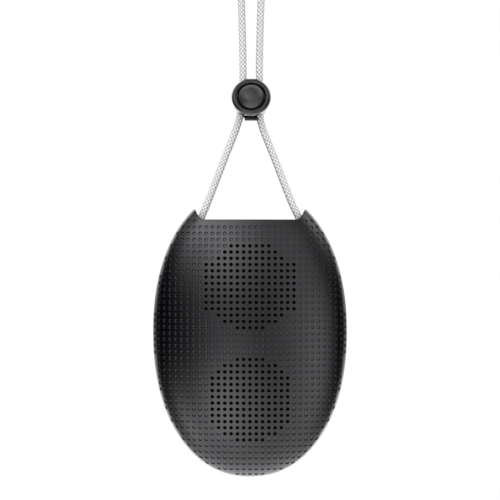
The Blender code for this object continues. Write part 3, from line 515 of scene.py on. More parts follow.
def add_holes(skin, dome, inner, centres, sides):
    """Round holes through the wall; gives back the rings and places of both surfaces."""
    shapes = dome.ring_shapes(centres, sides)
    collars, places = add_rings(skin, dome, centres, shapes, FLAT_RING, 0.0, 0.0)
    edge, _ = add_rings(skin, dome, centres, shapes, HOLE_RADIUS + HOLE_CHAMFER, 0.0, 0.0)
    lip, _ = add_rings(skin, dome, centres, shapes, HOLE_RADIUS, HOLE_LIP_DEPTH, math.radians(60))
    bridge_all(skin, collars, edge)
    bridge_all(skin, edge, lip)
    back, _ = add_rings(skin, dome, centres, shapes, HOLE_RADIUS, WALL, math.radians(90))
    points = skin.points[-1]
    points[:] = inner.place(points[:, 0], points[:, 2])
    bridge_all(skin, lip, back)
    numbers = [v for ring in back for v in ring]
    inner_places = dict(zip(numbers, inner.sheet(points[:, 0], points[:, 2])))
    return collars, places, back, inner_places


def edge_rings(skin, outer, inner):
    """The case's edge: rounded over along the notch, square at the seam.

    Gives back the outer and inner boundary rings and their sheet places.
    """
    width = RIM_INSET + (EDGE_ROUND - RIM_INSET) * LOOP_ON_NOTCH
    start = LOOP + LOOP_INWARD * width[:, None]
    on_surface = outer.place(start[:, 0], start[:, 1])
    surface_normals = outer.normal(on_surface)
    sideways = np.stack([-LOOP_INWARD[:, 0], np.zeros(len(LOOP)), -LOOP_INWARD[:, 1]], 1)
    boundary = skin.add(on_surface, surface_normals)
    previous = boundary
    steps = 4
    for i in range(1, steps + 1):
        turn = math.pi / 2 * i / steps
        points = on_surface + sideways * (width * math.sin(turn))[:, None]
        points[:, 1] -= outer.facing * width * (1 - math.cos(turn))
        normals = surface_normals * math.cos(turn) + sideways * math.sin(turn)
        normals /= np.linalg.norm(normals, axis=1, keepdims=True)
        ring = skin.add(points, normals)
        skin.bridge(previous, ring)
        previous = ring
    shortest = SEAM_GAP / 2
    wall_end = inner.place(LOOP[:, 0], LOOP[:, 1])
    wall_end[:, 1] = outer.facing * np.maximum(np.abs(wall_end[:, 1]), shortest)
    ring = skin.add(wall_end, sideways)
    skin.bridge(previous, ring)
    scale = np.minimum(1.0, 0.996 / inner.rho(LOOP[:, 0], LOOP[:, 1]))
    within = LOOP * scale[:, None]
    inner_points = inner.place(within[:, 0], within[:, 1])
    inner_points[:, 1] = outer.facing * np.maximum(np.abs(inner_points[:, 1]), shortest)
    inner_boundary = skin.add(inner_points, -inner.normal(inner_points))
    skin.bridge(ring, inner_boundary)
    outer_places = dict(zip(boundary, outer.sheet(start[:, 0], start[:, 1])))
    inner_places = dict(zip(inner_boundary, inner.sheet(within[:, 0], within[:, 1])))
    return boundary, outer_places, inner_boundary, inner_places


def loose_places(dome, boundary, centres, keep_clear):
    """Sheet places between the features that let the sheet follow the dome's curve."""
    top = top_row(dome)
    half = PITCH / 2
    found = [(column * PITCH + half, top - row * PITCH + half)
             for row in GRID_ROWS for column in GRID_COLUMNS[:-1]]
    inward = inward_from(boundary)
    for reach in EDGE_FOLLOWERS:
        found += list(boundary + inward * reach)
    places = np.array(found)
    places = places[inside_polygon(places, boundary)]
    places = places[distance_to_loop(places, boundary) > LOOSE_EDGE_GAP]
    away = np.linalg.norm(places[:, None] - centres[None], axis=2).min(axis=1)
    places = places[away > FLAT_RING + LOOSE_GAP]
    places = places[outside_boxes(places, dome, keep_clear)]
    order = np.lexsort((places[:, 1], places[:, 0]))
    places = places[order]
    kept = []
    for place in places:
        if all(max(abs(place[0] - k[0]), abs(place[1] - k[1])) > LOOSE_GAP for k in kept[-80:]):
            kept.append(place)
    return np.array(kept)


def add_surface_points(skin, dome, places, inside=False):
    points = dome.surface(places)
    normals = dome.normal(points)
    numbers = skin.add(points, -normals if inside else normals)
    return numbers, dict(zip(numbers, places))


def circle(radius, sides, centre=(0.0, 0.0)):
    turn = (np.arange(sides) + 0.5) * math.tau / sides
    return np.stack([centre[0] + radius * np.cos(turn), centre[1] + radius * np.sin(turn)], 1)


def rounded_rectangle(width, height, radius, steps=6):
    points = []
    for quarter in range(4):
        sign_x = 1 if quarter in (0, 3) else -1
        sign_y = 1 if quarter in (0, 1) else -1
        for i in range(steps + 1):
            turn = math.pi / 2 * (quarter + i / steps)
            points.append((sign_x * (width / 2 - radius) + radius * math.cos(turn),
                           sign_y * (height / 2 - radius) + radius * math.sin(turn)))
    return np.array(points)


def make_shell(name, outer, inner, holes, look, openings=(), plain=()):
    """One half of the case, with its dimples, its holes and its larger openings.

    Each opening adds its own rings to the skin and gives back its outer and inner ring; dimples
    keep out of its keep_clear box and out of the plain areas' boxes.
    """
    skin = Skin()
    boundary, places, inner_boundary, inner_places = edge_rings(skin, outer, inner)
    edge = np.array([places[v] for v in boundary])
    centres, grid = sheet_lattice(outer, edge)
    keep_clear = [opening.keep_clear for opening in openings]
    kept = outside_boxes(centres, outer, keep_clear + [area.keep_clear for area in plain])
    centres, grid = centres[kept], grid[kept]
    through = np.array([holes and is_hole(row, column) for row, column in grid])
    rings, inner_rings = [], []
    collars, found = add_dimples(skin, outer, centres[~through], RING_SIDES)
    rings += collars
    places.update(found)
    if through.any():
        collars, found, back, found_inside = add_holes(skin, outer, inner, centres[through],
                                                       RING_SIDES)
        rings += collars
        inner_rings += back
        places.update(found)
        inner_places.update(found_inside)
    for opening in openings:
        ring, inner_ring = opening(skin, outer, inner)
        for numbers, dome, store in ((ring, outer, places), (inner_ring, inner, inner_places)):
            points = np.concatenate(skin.points)[numbers]
            store.update(zip(numbers, dome.sheet(points[:, 0], points[:, 2])))
        rings.append(ring)
        inner_rings.append(inner_ring)
    loose, found = add_surface_points(skin, outer, loose_places(outer, edge, centres, keep_clear))
    places.update(found)
    skin.fill(places, boundary, rings, loose)

    inner_edge = np.array([inner_places[v] for v in inner_boundary])
    top = top_row(inner)
    grid_places = np.array([((column + 0.5) * PITCH, top - (row + 0.5) * PITCH)
                            for row in GRID_ROWS for column in GRID_COLUMNS[:-1]])
    grid_places = grid_places[inside_polygon(grid_places, inner_edge)]
    grid_places = grid_places[distance_to_loop(grid_places, inner_edge) > 0.0010]
    if inner_rings:
        taken = np.array([inner_places[v] for ring in inner_rings for v in ring])
        away = np.linalg.norm(grid_places[:, None] - taken[None], axis=2).min(axis=1)
        grid_places = grid_places[away > 0.0004]
        grid_places = grid_places[outside_boxes(grid_places, inner, keep_clear)]
    inner_loose, found = add_surface_points(skin, inner, grid_places, inside=True)
    inner_places.update(found)
    skin.fill(inner_places, inner_boundary, inner_rings, inner_loose)
    return finish_skin(name, skin, look)


def lathe(profile, segments, axis):
    """Points and rings of a (radius, height) profile; a radius of nothing gives one point."""
    turn = np.arange(segments) * math.tau / segments
    points, rings = [], []
    for radius, height in profile:
        spots = turn if radius else turn[:1]
        rings.append(list(range(len(points), len(points) + len(spots))))
        for across, up in zip(radius * np.cos(spots), radius * np.sin(spots)):
            points.append((across, height, up) if axis == "Y" else (across, up, height))
    return points, rings


def turned(name, profile, look, place, axis="Y", segments=96, sharp=38.0):
    """A solid of revolution: an open (radius, height) profile, closed at its ends."""
    points, rings = lathe(profile, segments, axis)
    faces = []
    for low, high in zip(rings, rings[1:]):
        faces += band(low, high)
    for end in (rings[0], rings[-1]):
        if len(end) > 1:
            faces.append(tuple(end))
    return outward_facing(make_object(name, points, faces, look, place, sharp))


def band(low, high):
    """Faces between two rings; a ring of one point is a pole."""
    count = max(len(low), len(high))
    faces = []
    for i in range(count):
        j = (i + 1) % count
        if len(low) == 1:
            faces.append((low[0], high[j], high[i]))
        elif len(high) == 1:
            faces.append((low[i], low[j], high[0]))
        else:
            faces.append((low[i], low[j], high[j], high[i]))
    return faces


def ring_solid(name, profile, look, place, axis="Y", segments=96, sharp=38.0):
    """A ring of revolution: a closed (radius, height) profile."""
    points, rings = lathe(profile, segments, axis)
    faces = []
    for low, high in zip(rings, rings[1:] + rings[:1]):
        faces += band(low, high)
    return outward_facing(make_object(name, points, faces, look, place, sharp))


def outward_facing(made):
    bm = bmesh.new()
    bm.from_mesh(made.data)
    bmesh.ops.recalc_face_normals(bm, faces=bm.faces)
    bm.to_mesh(made.data)
    bm.free()
    return made


def soften(bm, edges, offset, segments):
    bmesh.ops.bevel(bm, geom=edges, offset=offset, segments=segments, profile=0.5, affect="EDGES")


def block(name, size, look, place, bevel=0.0, segments=3):
    """A box with rounded edges."""
    bm = bmesh.new()
    bmesh.ops.create_cube(bm, size=1.0, matrix=Matrix.Diagonal((*size, 1.0)))
    if bevel:
        soften(bm, bm.edges, bevel, segments)
    return from_bmesh(name, bm, look, place, 50.0)


def plate(name, outline_points, low, high, look, place, along="Y", bevel=0.0, segments=3):
    """An outline drawn out along Y or Z, with its rims rounded."""
    bm = bmesh.new()
    loops = []
    for level in (low, high):
        if along == "Y":
            loops.append([bm.verts.new((u, level, v)) for u, v in outline_points])
        else:
            loops.append([bm.verts.new((u, v, level)) for u, v in outline_points])
    count = len(outline_points)
    for i in range(count):
        j = (i + 1) % count
        bm.faces.new((loops[0][i], loops[0][j], loops[1][j], loops[1][i]))
    for loop in loops:
        bm.faces.new(loop)
    if bevel:
        rims = [edge for edge in bm.edges
                if any(edge.verts[0] in loop and edge.verts[1] in loop for loop in loops)]
        soften(bm, rims, bevel, segments)
    return from_bmesh(name, bm, look, place, 50.0)


def from_bmesh(name, bm, look, place, sharp):
    bmesh.ops.recalc_face_normals(bm, faces=bm.faces)
    mesh = bpy.data.meshes.new(name)
    bm.to_mesh(mesh)
    bm.free()
    return link_mesh(name, mesh, look, place, sharp)


def combine(target, tools, operation="DIFFERENCE"):
    """Cuts or joins with other objects and keeps only the result."""
    for tool in tools:
        step = target.modifiers.new(tool.name, "BOOLEAN")
        step.object = tool
        step.operation = operation
        step.solver = "EXACT"
    bpy.context.view_layer.update()
    graph = bpy.context.evaluated_depsgraph_get()
    mesh = bpy.data.meshes.new_from_object(target.evaluated_get(graph))
    target.modifiers.clear()
    target.data = mesh
    mesh.shade_smooth()
    mesh.set_sharp_from_angle(angle=math.radians(38.0))
    for tool in tools:
        bpy.data.objects.remove(tool, do_unlink=True)
    return target


def at(x, y, z):
    """A point in space from its place about the case's centre."""
    return CENTRE + Vector((x, y, z))


def stand_for(piece, body, slot, *names):
    """A visual piece takes the place of CAD nodes on one body."""
    if names:
        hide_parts(*names)
    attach(piece, body)
    return piece


# ---- materials --------------------------------------------------------------------------------
class Nodes:
    """A small helper that adds and wires shader nodes."""

    def __init__(self, tree):
        self.tree = tree

    def add(self, kind, settings=None, **inputs):
        node = self.tree.nodes.new(kind)
        for key, value in (settings or {}).items():
            setattr(node, key, value)
        for key, value in inputs.items():
            name = key.replace("_", " ")
            socket = node.inputs[int(key[1:])] if key[0] == "i" and key[1:].isdigit() else None
            self.wire(socket or node.inputs[name], value)
        return node

    def wire(self, socket, value):
        if isinstance(value, bpy.types.NodeSocket):
            self.tree.links.new(value, socket)
        else:
            socket.default_value = value

    def math(self, operation, first, second=0.0, third=0.0):
        node = self.add("ShaderNodeMath", {"operation": operation}, i0=first, i1=second, i2=third)
        return node.outputs[0]

    def noise(self, scale, detail=3.0, roughness=0.5, vector=None):
        node = self.add("ShaderNodeTexNoise", Scale=scale, Detail=detail, Roughness=roughness)
        if vector is not None:
            self.wire(node.inputs["Vector"], vector)
        return node.outputs["Fac"]

    def ramp(self, value, low, high, start=0.0, end=1.0):
        node = self.add("ShaderNodeMapRange", Value=value, From_Min=low, From_Max=high,
                        To_Min=start, To_Max=end)
        return node.outputs["Result"]

    def wave(self, value, pitch):
        """A sine of the value that repeats at every pitch."""
        return self.math("SINE", self.math("MULTIPLY", value, math.tau / pitch))

    def mix(self, share, first, second):
        node = self.add("ShaderNodeMix", {"data_type": "RGBA"})
        self.wire(node.inputs[0], share)
        self.wire(node.inputs[6], first)
        self.wire(node.inputs[7], second)
        return node.outputs[2]


def start_look(name):
    """A new material, its node helper, its shader and the piece's own coordinates."""
    look = bpy.data.materials.new(name)
    look.use_nodes = True
    nodes = Nodes(look.node_tree)
    shader = look.node_tree.nodes["Principled BSDF"]
    return look, nodes, shader, nodes.add("ShaderNodeTexCoord").outputs["Object"]


def finish_look(nodes, shader, tone, roughness, height, relief, strength=1.0):
    """Wires colour, roughness and fine relief into a shader."""
    nodes.wire(shader.inputs["Base Color"], tone)
    nodes.wire(shader.inputs["Roughness"], roughness)
    bump = nodes.add("ShaderNodeBump", Strength=strength, Distance=relief, Height=height)
    nodes.wire(shader.inputs["Normal"], bump.outputs["Normal"])


def shade(colour, scale):
    return tuple(min(1.0, channel * scale) for channel in colour[:3]) + (1.0,)


def procedural(name, colour, roughness, metallic=0.0, spread=0.15, blotch=180.0, grain=5200.0,
               relief=0.00002, unevenness=0.06, wear=0.0, worn_colour=None, extra=None):
    """Principled material with blotchy colour, fine grain, uneven gloss and worn edges."""
    look, nodes, shader, place = start_look(name)
    blotches = nodes.noise(blotch, 4.0, 0.55, place)
    grains = nodes.noise(grain, 2.0, 0.6, place)
    tone = nodes.mix(nodes.ramp(blotches, 0.3, 0.7), shade(colour, 1 - spread),
                     shade(colour, 1 + spread))
    if wear:
        edges = nodes.add("ShaderNodeNewGeometry").outputs["Pointiness"]
        rubbed = nodes.math("MULTIPLY", nodes.ramp(edges, 0.53, 0.60), nodes.ramp(
            nodes.noise(900.0, 4.0, 0.6, place), 0.45, 0.65, 0.0, wear))
        tone = nodes.mix(rubbed, tone, (worn_colour or shade(colour, 2.2)))
    gloss = nodes.ramp(nodes.noise(blotch * 3.0, 3.0, 0.6, place), 0.3, 0.7,
                       roughness - unevenness, roughness + unevenness)
    finish_look(nodes, shader, tone, gloss, grains, relief)
    shader.inputs["Metallic"].default_value = metallic
    for key, value in (extra or {}).items():
        shader.inputs[key].default_value = value
    return look


def use(look, *names):
    """Gives CAD nodes a procedural material."""
    for name in names:
        for slot in nodes[name].material_slots:
            slot.material = look


case_look = procedural("case_satin", (0.0009, 0.0010, 0.0018), 0.19, spread=0.18,
                       relief=0.000006, unevenness=0.02)
gloss_look = procedural("stopper_gloss", (0.005, 0.005, 0.0055), 0.28, relief=0.000006)
button_look = procedural("stopper_button_satin", (0.008, 0.008, 0.0086), 0.42, relief=0.000006,
                         extra={"Specular IOR Level": 0.62})
spring_look = procedural("spring_wire", (0.62, 0.62, 0.62), 0.26, metallic=1.0, spread=0.06,
                         relief=0.000004)
rubber_look = procedural("soft_rubber", (0.012, 0.012, 0.0125), 0.62, relief=0.00003)


# ---- camera, light and stage --------------------------------------------------------------------
CAMERA_DISTANCE = 0.80
CAMERA_Z = -0.1642
LENS = 115.2

# Soft lights that gloss reflects: name, azimuth and elevation in degrees, sharpness, strength.
# key, top_right, window, right, low_left and low_right follow a fit of rendered lights to the
# photograph's brightness; the others were placed one by one.
LIGHT_LOBES = (
    ("key", -12.0, 20.0, 36.0, 3.7),
    ("top_left", -34.0, 29.0, 42.0, 4.0),
    ("top_left_edge", -63.0, 37.0, 44.0, 1.6),
    ("top_right", 20.0, 20.0, 30.0, 1.3),
    ("high", -16.0, 54.0, 26.0, 1.6),
    ("window", 63.0, 37.0, 30.0, 3.2),
    ("front", 14.0, -1.0, 34.0, 0.25),
    ("front_left", -8.0, -9.0, 44.0, 0.6),
    ("right", 33.0, -4.0, 30.0, 1.7),
    ("low_left", -12.0, -22.0, 38.0, 2.9),
    ("low_left_edge", -40.0, -29.0, 46.0, 2.4),
    ("low_middle", 14.0, -22.0, 40.0, 0.6),
    ("low_right", 36.0, -23.0, 26.0, 1.3),
)
SWEEP_RANGE = (-0.20, 0.45)     # the backdrop fades in between these Y parts of a direction
SWEEP_LEVEL = 1.3               # the backdrop's brightness level with the object
SWEEP_RISE = 7.5                # extra brightness towards the top and the bottom of the backdrop
SWEEP_LIMIT = 5.0
TABLE_LEVEL = 6.3               # straight down; it falls off with the cube of a direction's drop

SOFT_LIGHTS = (                 # name, azimuth and elevation in degrees, strength
    ("front_soft", -8.0, 25.0, 2.6),
    ("back_soft", 180.0, 20.0, 2.3),
    ("left_soft", -90.0, 5.0, 1.0),
    ("right_soft", 90.0, 5.0, 1.0),
    ("low_soft", 0.0, -75.0, 0.6),
    ("top_soft", 0.0, 85.0, 1.3),
)
SOFT_ANGLE = math.radians(120)


def direction(azimuth, elevation):
    """A unit direction; azimuth 0 is towards the camera and grows to the right."""
    turn, rise = math.radians(azimuth), math.radians(elevation)
    return (math.sin(turn) * math.cos(rise), -math.cos(turn) * math.cos(rise), math.sin(rise))


def make_world():
    """White to the camera, a graded room to reflections, and hidden from matt surfaces."""
    world = bpy.data.worlds.new("studio")
    bpy.context.scene.world = world
    world.use_nodes = True
    tree = world.node_tree
    tree.nodes.clear()
    nodes = Nodes(tree)
    towards = nodes.add("ShaderNodeTexCoord").outputs["Generated"]
    along = nodes.add("ShaderNodeVectorMath", {"operation": "NORMALIZE"}, i0=towards).outputs[0]
    split = nodes.add("ShaderNodeSeparateXYZ", Vector=along)
    up = nodes.math("ABSOLUTE", split.outputs["Z"])
    rising = nodes.math("MULTIPLY_ADD", up, SWEEP_RISE, SWEEP_LEVEL)
    level = nodes.math("MINIMUM", rising, SWEEP_LIMIT)
    sweep = nodes.add("ShaderNodeMapRange", {"interpolation_type": "SMOOTHSTEP"},
                      Value=split.outputs["Y"], From_Min=SWEEP_RANGE[0], From_Max=SWEEP_RANGE[1])
    behind = nodes.math("MULTIPLY", sweep.outputs["Result"], level)
    down = nodes.math("MAXIMUM", nodes.math("MULTIPLY", split.outputs["Z"], -1.0), 0.0)
    table = nodes.math("MULTIPLY", nodes.math("POWER", down, 3.0), TABLE_LEVEL)
    total = nodes.math("MAXIMUM", behind, table)
    for name, azimuth, elevation, sharpness, strength in LIGHT_LOBES:
        facing = nodes.add("ShaderNodeVectorMath", {"operation": "DOT_PRODUCT", "name": name},
                           i0=along, i1=direction(azimuth, elevation))
        power = nodes.math("MULTIPLY_ADD", facing.outputs["Value"], sharpness, -sharpness)
        lobe = nodes.math("MULTIPLY", nodes.math("EXPONENT", power), strength)
        total = nodes.math("ADD", total, lobe)
    light = nodes.add("ShaderNodeBackground", Color=(0.965, 0.97, 1.0, 1.0), Strength=total)
    white = nodes.add("ShaderNodeBackground", Color=(1.0, 1.0, 1.0, 1.0), Strength=1.0)
    seen = nodes.add("ShaderNodeLightPath").outputs["Is Camera Ray"]
    mixed = nodes.add("ShaderNodeMixShader", Fac=seen)
    tree.links.new(light.outputs[0], mixed.inputs[1])
    tree.links.new(white.outputs[0], mixed.inputs[2])
    nodes.add("ShaderNodeOutputWorld", Surface=mixed.outputs[0])
    world.cycles_visibility.diffuse = False


def make_soft_lights():
    """Even, wide light for matt surfaces; the graded room above is what gloss reflects."""
    for name, azimuth, elevation, strength in SOFT_LIGHTS:
        data = bpy.data.lights.new(name, "SUN")
        data.energy = strength
        data.angle = SOFT_ANGLE
        data.specular_factor = 0.0
        light = bpy.data.objects.new(name, data)
        light.rotation_mode = "QUATERNION"
        light.rotation_quaternion = Vector(direction(azimuth, elevation)).to_track_quat("Z", "Y")
        light.visible_glossy = False
        bpy.context.scene.collection.objects.link(light)


def make_camera():
    data = bpy.data.cameras.new("camera")
    data.lens = LENS
    data.sensor_width = 36.0
    camera = bpy.data.objects.new("camera", data)
    camera.location = (0.0, -CAMERA_DISTANCE, CAMERA_Z)
    camera.rotation_euler = (math.radians(90), 0.0, 0.0)
    bpy.context.scene.collection.objects.link(camera)
    bpy.context.scene.camera = camera


make_world()
make_soft_lights()
make_camera()
bpy.context.scene.view_settings.view_transform = "Standard"


# ---- cord ---------------------------------------------------------------------------------------
CORD_RADIUS = 0.0018
CORD_Y = 0.0030
CORD_EXIT_X = 0.0250
CORD_END_Z = 0.0455
LEGS_X = -0.0002
STOPPER_X = 0.0006
STOPPER_Z = 0.1153
STRAND_HALF_GAP = 0.0046
BIGHT_Z = 0.2068
CORD_GAP = 0.00015


def leg_route(side):
    return [
        (side * CORD_EXIT_X, CORD_END_Z),
        (side * CORD_EXIT_X, 0.0515),
        (side * (CORD_EXIT_X - 0.0001), 0.0550),
        (side * (CORD_EXIT_X - 0.0011), 0.0583),
        (LEGS_X + side * 0.0205, 0.0660),
        (LEGS_X + side * 0.0128, 0.0860),
        (LEGS_X + side * 0.0058, 0.1044),
        (STOPPER_X + side * STRAND_HALF_GAP, STOPPER_Z - CORD_GAP),
    ]


def loop_route():
    half = [(0.0046, STOPPER_Z + CORD_GAP), (0.0041, 0.1275), (0.0044, 0.1480), (0.0052, 0.1700),
            (0.0067, 0.1865), (0.0079, 0.1985), (0.0068, 0.2029), (0.0038, 0.2058)]
    left = [(STOPPER_X - x, z) for x, z in half]
    right = [(STOPPER_X + x, z) for x, z in reversed(half)]
    return left + [(STOPPER_X, BIGHT_Z)] + right


def smooth_route(flat_points, spacing):
    """Evenly spaced points in space on a Catmull-Rom curve through (x, z) places."""
    points = [CENTRE + Vector((x, CORD_Y, z)) for x, z in flat_points]
    padded = [2 * points[0] - points[1]] + points + [2 * points[-1] - points[-2]]
    fine = []
    for a, b, c, d in zip(padded, padded[1:], padded[2:], padded[3:]):
        for i in range(60):
            t = i / 60
            fine.append(0.5 * (2 * b + (c - a) * t + (2 * a - 5 * b + 4 * c - d) * t * t
                               + (3 * b - a - 3 * c + d) * t ** 3))
    fine = np.array(fine + [points[-1]])
    walked = np.concatenate([[0], np.cumsum(np.linalg.norm(np.diff(fine, axis=0), axis=1))])
    count = max(8, round(walked[-1] / spacing))
    marks = np.linspace(0.0, walked[-1], count + 1)
    return np.stack([np.interp(marks, walked, fine[:, i]) for i in range(3)], 1), walked[-1]


BRAID_CARRIERS = 6          # strands wound each way round the cord
BRAID_LEAD = 0.0130         # length of cord for one full turn of a strand
BRAID_RELIEF = 0.00024
CORD_SIDES = 72
CORD_STEP = 0.00021


def braid(around, along):
    """Height (0 to 1), which family is on top and the strand number of a plain two-way braid."""
    first = around * BRAID_CARRIERS + along * BRAID_CARRIERS
    second = around * BRAID_CARRIERS - along * BRAID_CARRIERS
    first_strand, second_strand = np.floor(first), np.floor(second)
    parity = (first_strand + second_strand) % 2
    crest_first = np.sin(math.pi * (first - first_strand)) ** 0.6
    crest_second = np.sin(math.pi * (second - second_strand)) ** 0.6
    over_first = np.where(parity == 0, crest_second, -crest_second)
    over_second = np.where(parity == 1, crest_first, -crest_first)
    height_first = crest_first * 0.62 + 0.38 * over_first
    height_second = crest_second * 0.62 + 0.38 * over_second
    top = height_first >= height_second
    return (np.maximum(height_first, height_second).clip(0, 1), top,
            np.where(top, first_strand, second_strand) % BRAID_CARRIERS)


def tube_faces(rings, sides):
    """Faces of a tube of rings, with a cap at each end."""
    faces = [(low + j, low + (j + 1) % sides, low + sides + (j + 1) % sides, low + sides + j)
             for low in range(0, (rings - 1) * sides, sides) for j in range(sides)]
    last = (rings - 1) * sides
    return faces + [tuple(range(sides - 1, -1, -1)), tuple(range(last, last + sides))]


def make_braided_cord(name, flat_points, look, shaded_turn):
    """A tube whose skin is woven: its strands stand proud and pass over and under each other."""
    path, length = smooth_route(flat_points, CORD_STEP)
    count = len(path)
    tangent = np.gradient(path, axis=0)
    tangent /= np.linalg.norm(tangent, axis=1, keepdims=True)
    side = np.array([0.0, -1.0, 0.0])
    across = np.cross(tangent, side)
    turn = np.arange(CORD_SIDES) / CORD_SIDES
    along = (np.linspace(0.0, length, count) / BRAID_LEAD)[:, None]
    height, top, strand = braid(turn[None, :], along)
    radius = CORD_RADIUS * 1.02 - BRAID_RELIEF * (1 - height)
    angle = turn * math.tau
    ring = (across[:, None] * np.cos(angle)[None, :, None]
            + side[None, None] * np.sin(angle)[None, :, None])
    points = (path[:, None] + ring * radius[:, :, None]).reshape(-1, 3)
    made = make_object(name, points, tube_faces(count, CORD_SIDES), look, place=(0.0, 0.0, 0.0))
    # Painted shade: a dotted dark line runs along the cord at the given turn, where its inner, lower
    # side falls in shade; both edges of the cord, seen from the front, are painted grey as shade.
    cell = np.floor(along * BRAID_CARRIERS * 2)
    drift = np.broadcast_to(turn[None, :], height.shape) - shaded_turn
    near = np.abs((drift + 0.5) % 1.0 - 0.5)
    shade_flecks = np.where(top, smoothstep((0.11 - near) / 0.05), 0.0) * ((cell + strand) % 3 != 0)
    from_side = np.broadcast_to(np.abs((2 * turn + 0.5) % 1.0 - 0.5) / 2, height.shape)
    edge_shade = smoothstep((0.13 - from_side) / 0.07)
    # The weave attribute carries the braid's height, the painted shade line and the painted shade on the
    # edges.
    tones = made.data.attributes.new("weave", "FLOAT_COLOR", "POINT")
    channels = (height, shade_flecks, edge_shade, np.ones_like(height))
    colours = np.stack([channel.ravel() for channel in channels], 1).astype(np.float32)
    tones.data.foreach_set("color", colours.ravel())
    step = max(1, count // 34)
    route = [tuple(p) for p in path[::step]]
    if count % step != 1:
        route.append(tuple(path[-1]))
    return made, route, length


def make_cord_look():
    """Yarn from the cord's weave: red is height (painted crevice shade), green a painted shade line,
    blue painted edge shade.
    """
    look, nodes, shader, place = start_look("cord_braid_yarn")
    weave = nodes.add("ShaderNodeAttribute", {"attribute_name": "weave"}).outputs["Color"]
    parts = nodes.add("ShaderNodeSeparateColor", Color=weave)
    fibres = nodes.noise(7000.0, 3.0, 0.7, place)
    patches = nodes.noise(600.0, 3.0, 0.6, place)
    light = nodes.mix(nodes.ramp(patches, 0.35, 0.65), (0.84, 0.84, 0.83, 1), (0.92, 0.92, 0.905, 1))
    # Painted shade: dark flecks along the cord's shaded inner side, and grey (0.30) down both its edges.
    fleck_shade = nodes.math("MULTIPLY", parts.outputs["Green"], nodes.ramp(fibres, 0.3, 0.6, 0.45, 0.95))
    side = nodes.math("MULTIPLY", parts.outputs["Blue"], 0.6)
    yarn = nodes.mix(fleck_shade, nodes.mix(side, light, (0.30, 0.30, 0.305, 1)), (0.16, 0.165, 0.175, 1))
    # Painted shade: the crevices between strands are painted grey.
    crevice_shade = nodes.ramp(parts.outputs["Red"], 0.58, 0.93, 0.95, 0.0)
    tone = nodes.mix(crevice_shade, yarn, (0.36, 0.36, 0.362, 1))
    roughness = nodes.ramp(fibres, 0.3, 0.7, 0.65, 0.9)
    finish_look(nodes, shader, tone, roughness, fibres, 0.00004, 0.6)
    shader.inputs["Sheen Weight"].default_value = 0.15
    return look


# ---- stopper ------------------------------------------------------------------------------------
STOPPER_TILT = math.radians(16.0)
STOPPER_BORE = 0.0069
SLOT_INNER = 0.0017
SLOT_HALF_WIDTH = 0.0080
SLOT_DEPTH = CORD_RADIUS + 0.0003
LEG_RELIEF_INNER = 0.0031
LEG_RELIEF_FRONT = 0.0048
LEG_RELIEF_DROP = 0.0066
PLUNGER_WEB = 0.0013
PLUNGER_TRAVEL = 0.0024
PLUNGER_RADIUS = 0.0066
KEEPER_WIDTH = 0.0066           # the bar that keeps the two legs apart under the barrel
KEEPER_DEPTH = 0.0050
KEEPER_HEIGHT = 0.0018
KEEPER_DROP = 0.0098
KEEPER_TOP = 0.0074
SLOT_HEIGHT = 0.03              # tall enough to cut right through the stopper
RELIEF_HEIGHT = 0.010
FLAT_DEPTH = 0.0060
SPRING_RADIUS = 0.0026
SPRING_WIRE = 0.00028
SPRING_START = 0.0037
SPRING_END = 0.0082
SPRING_TURNS = 5


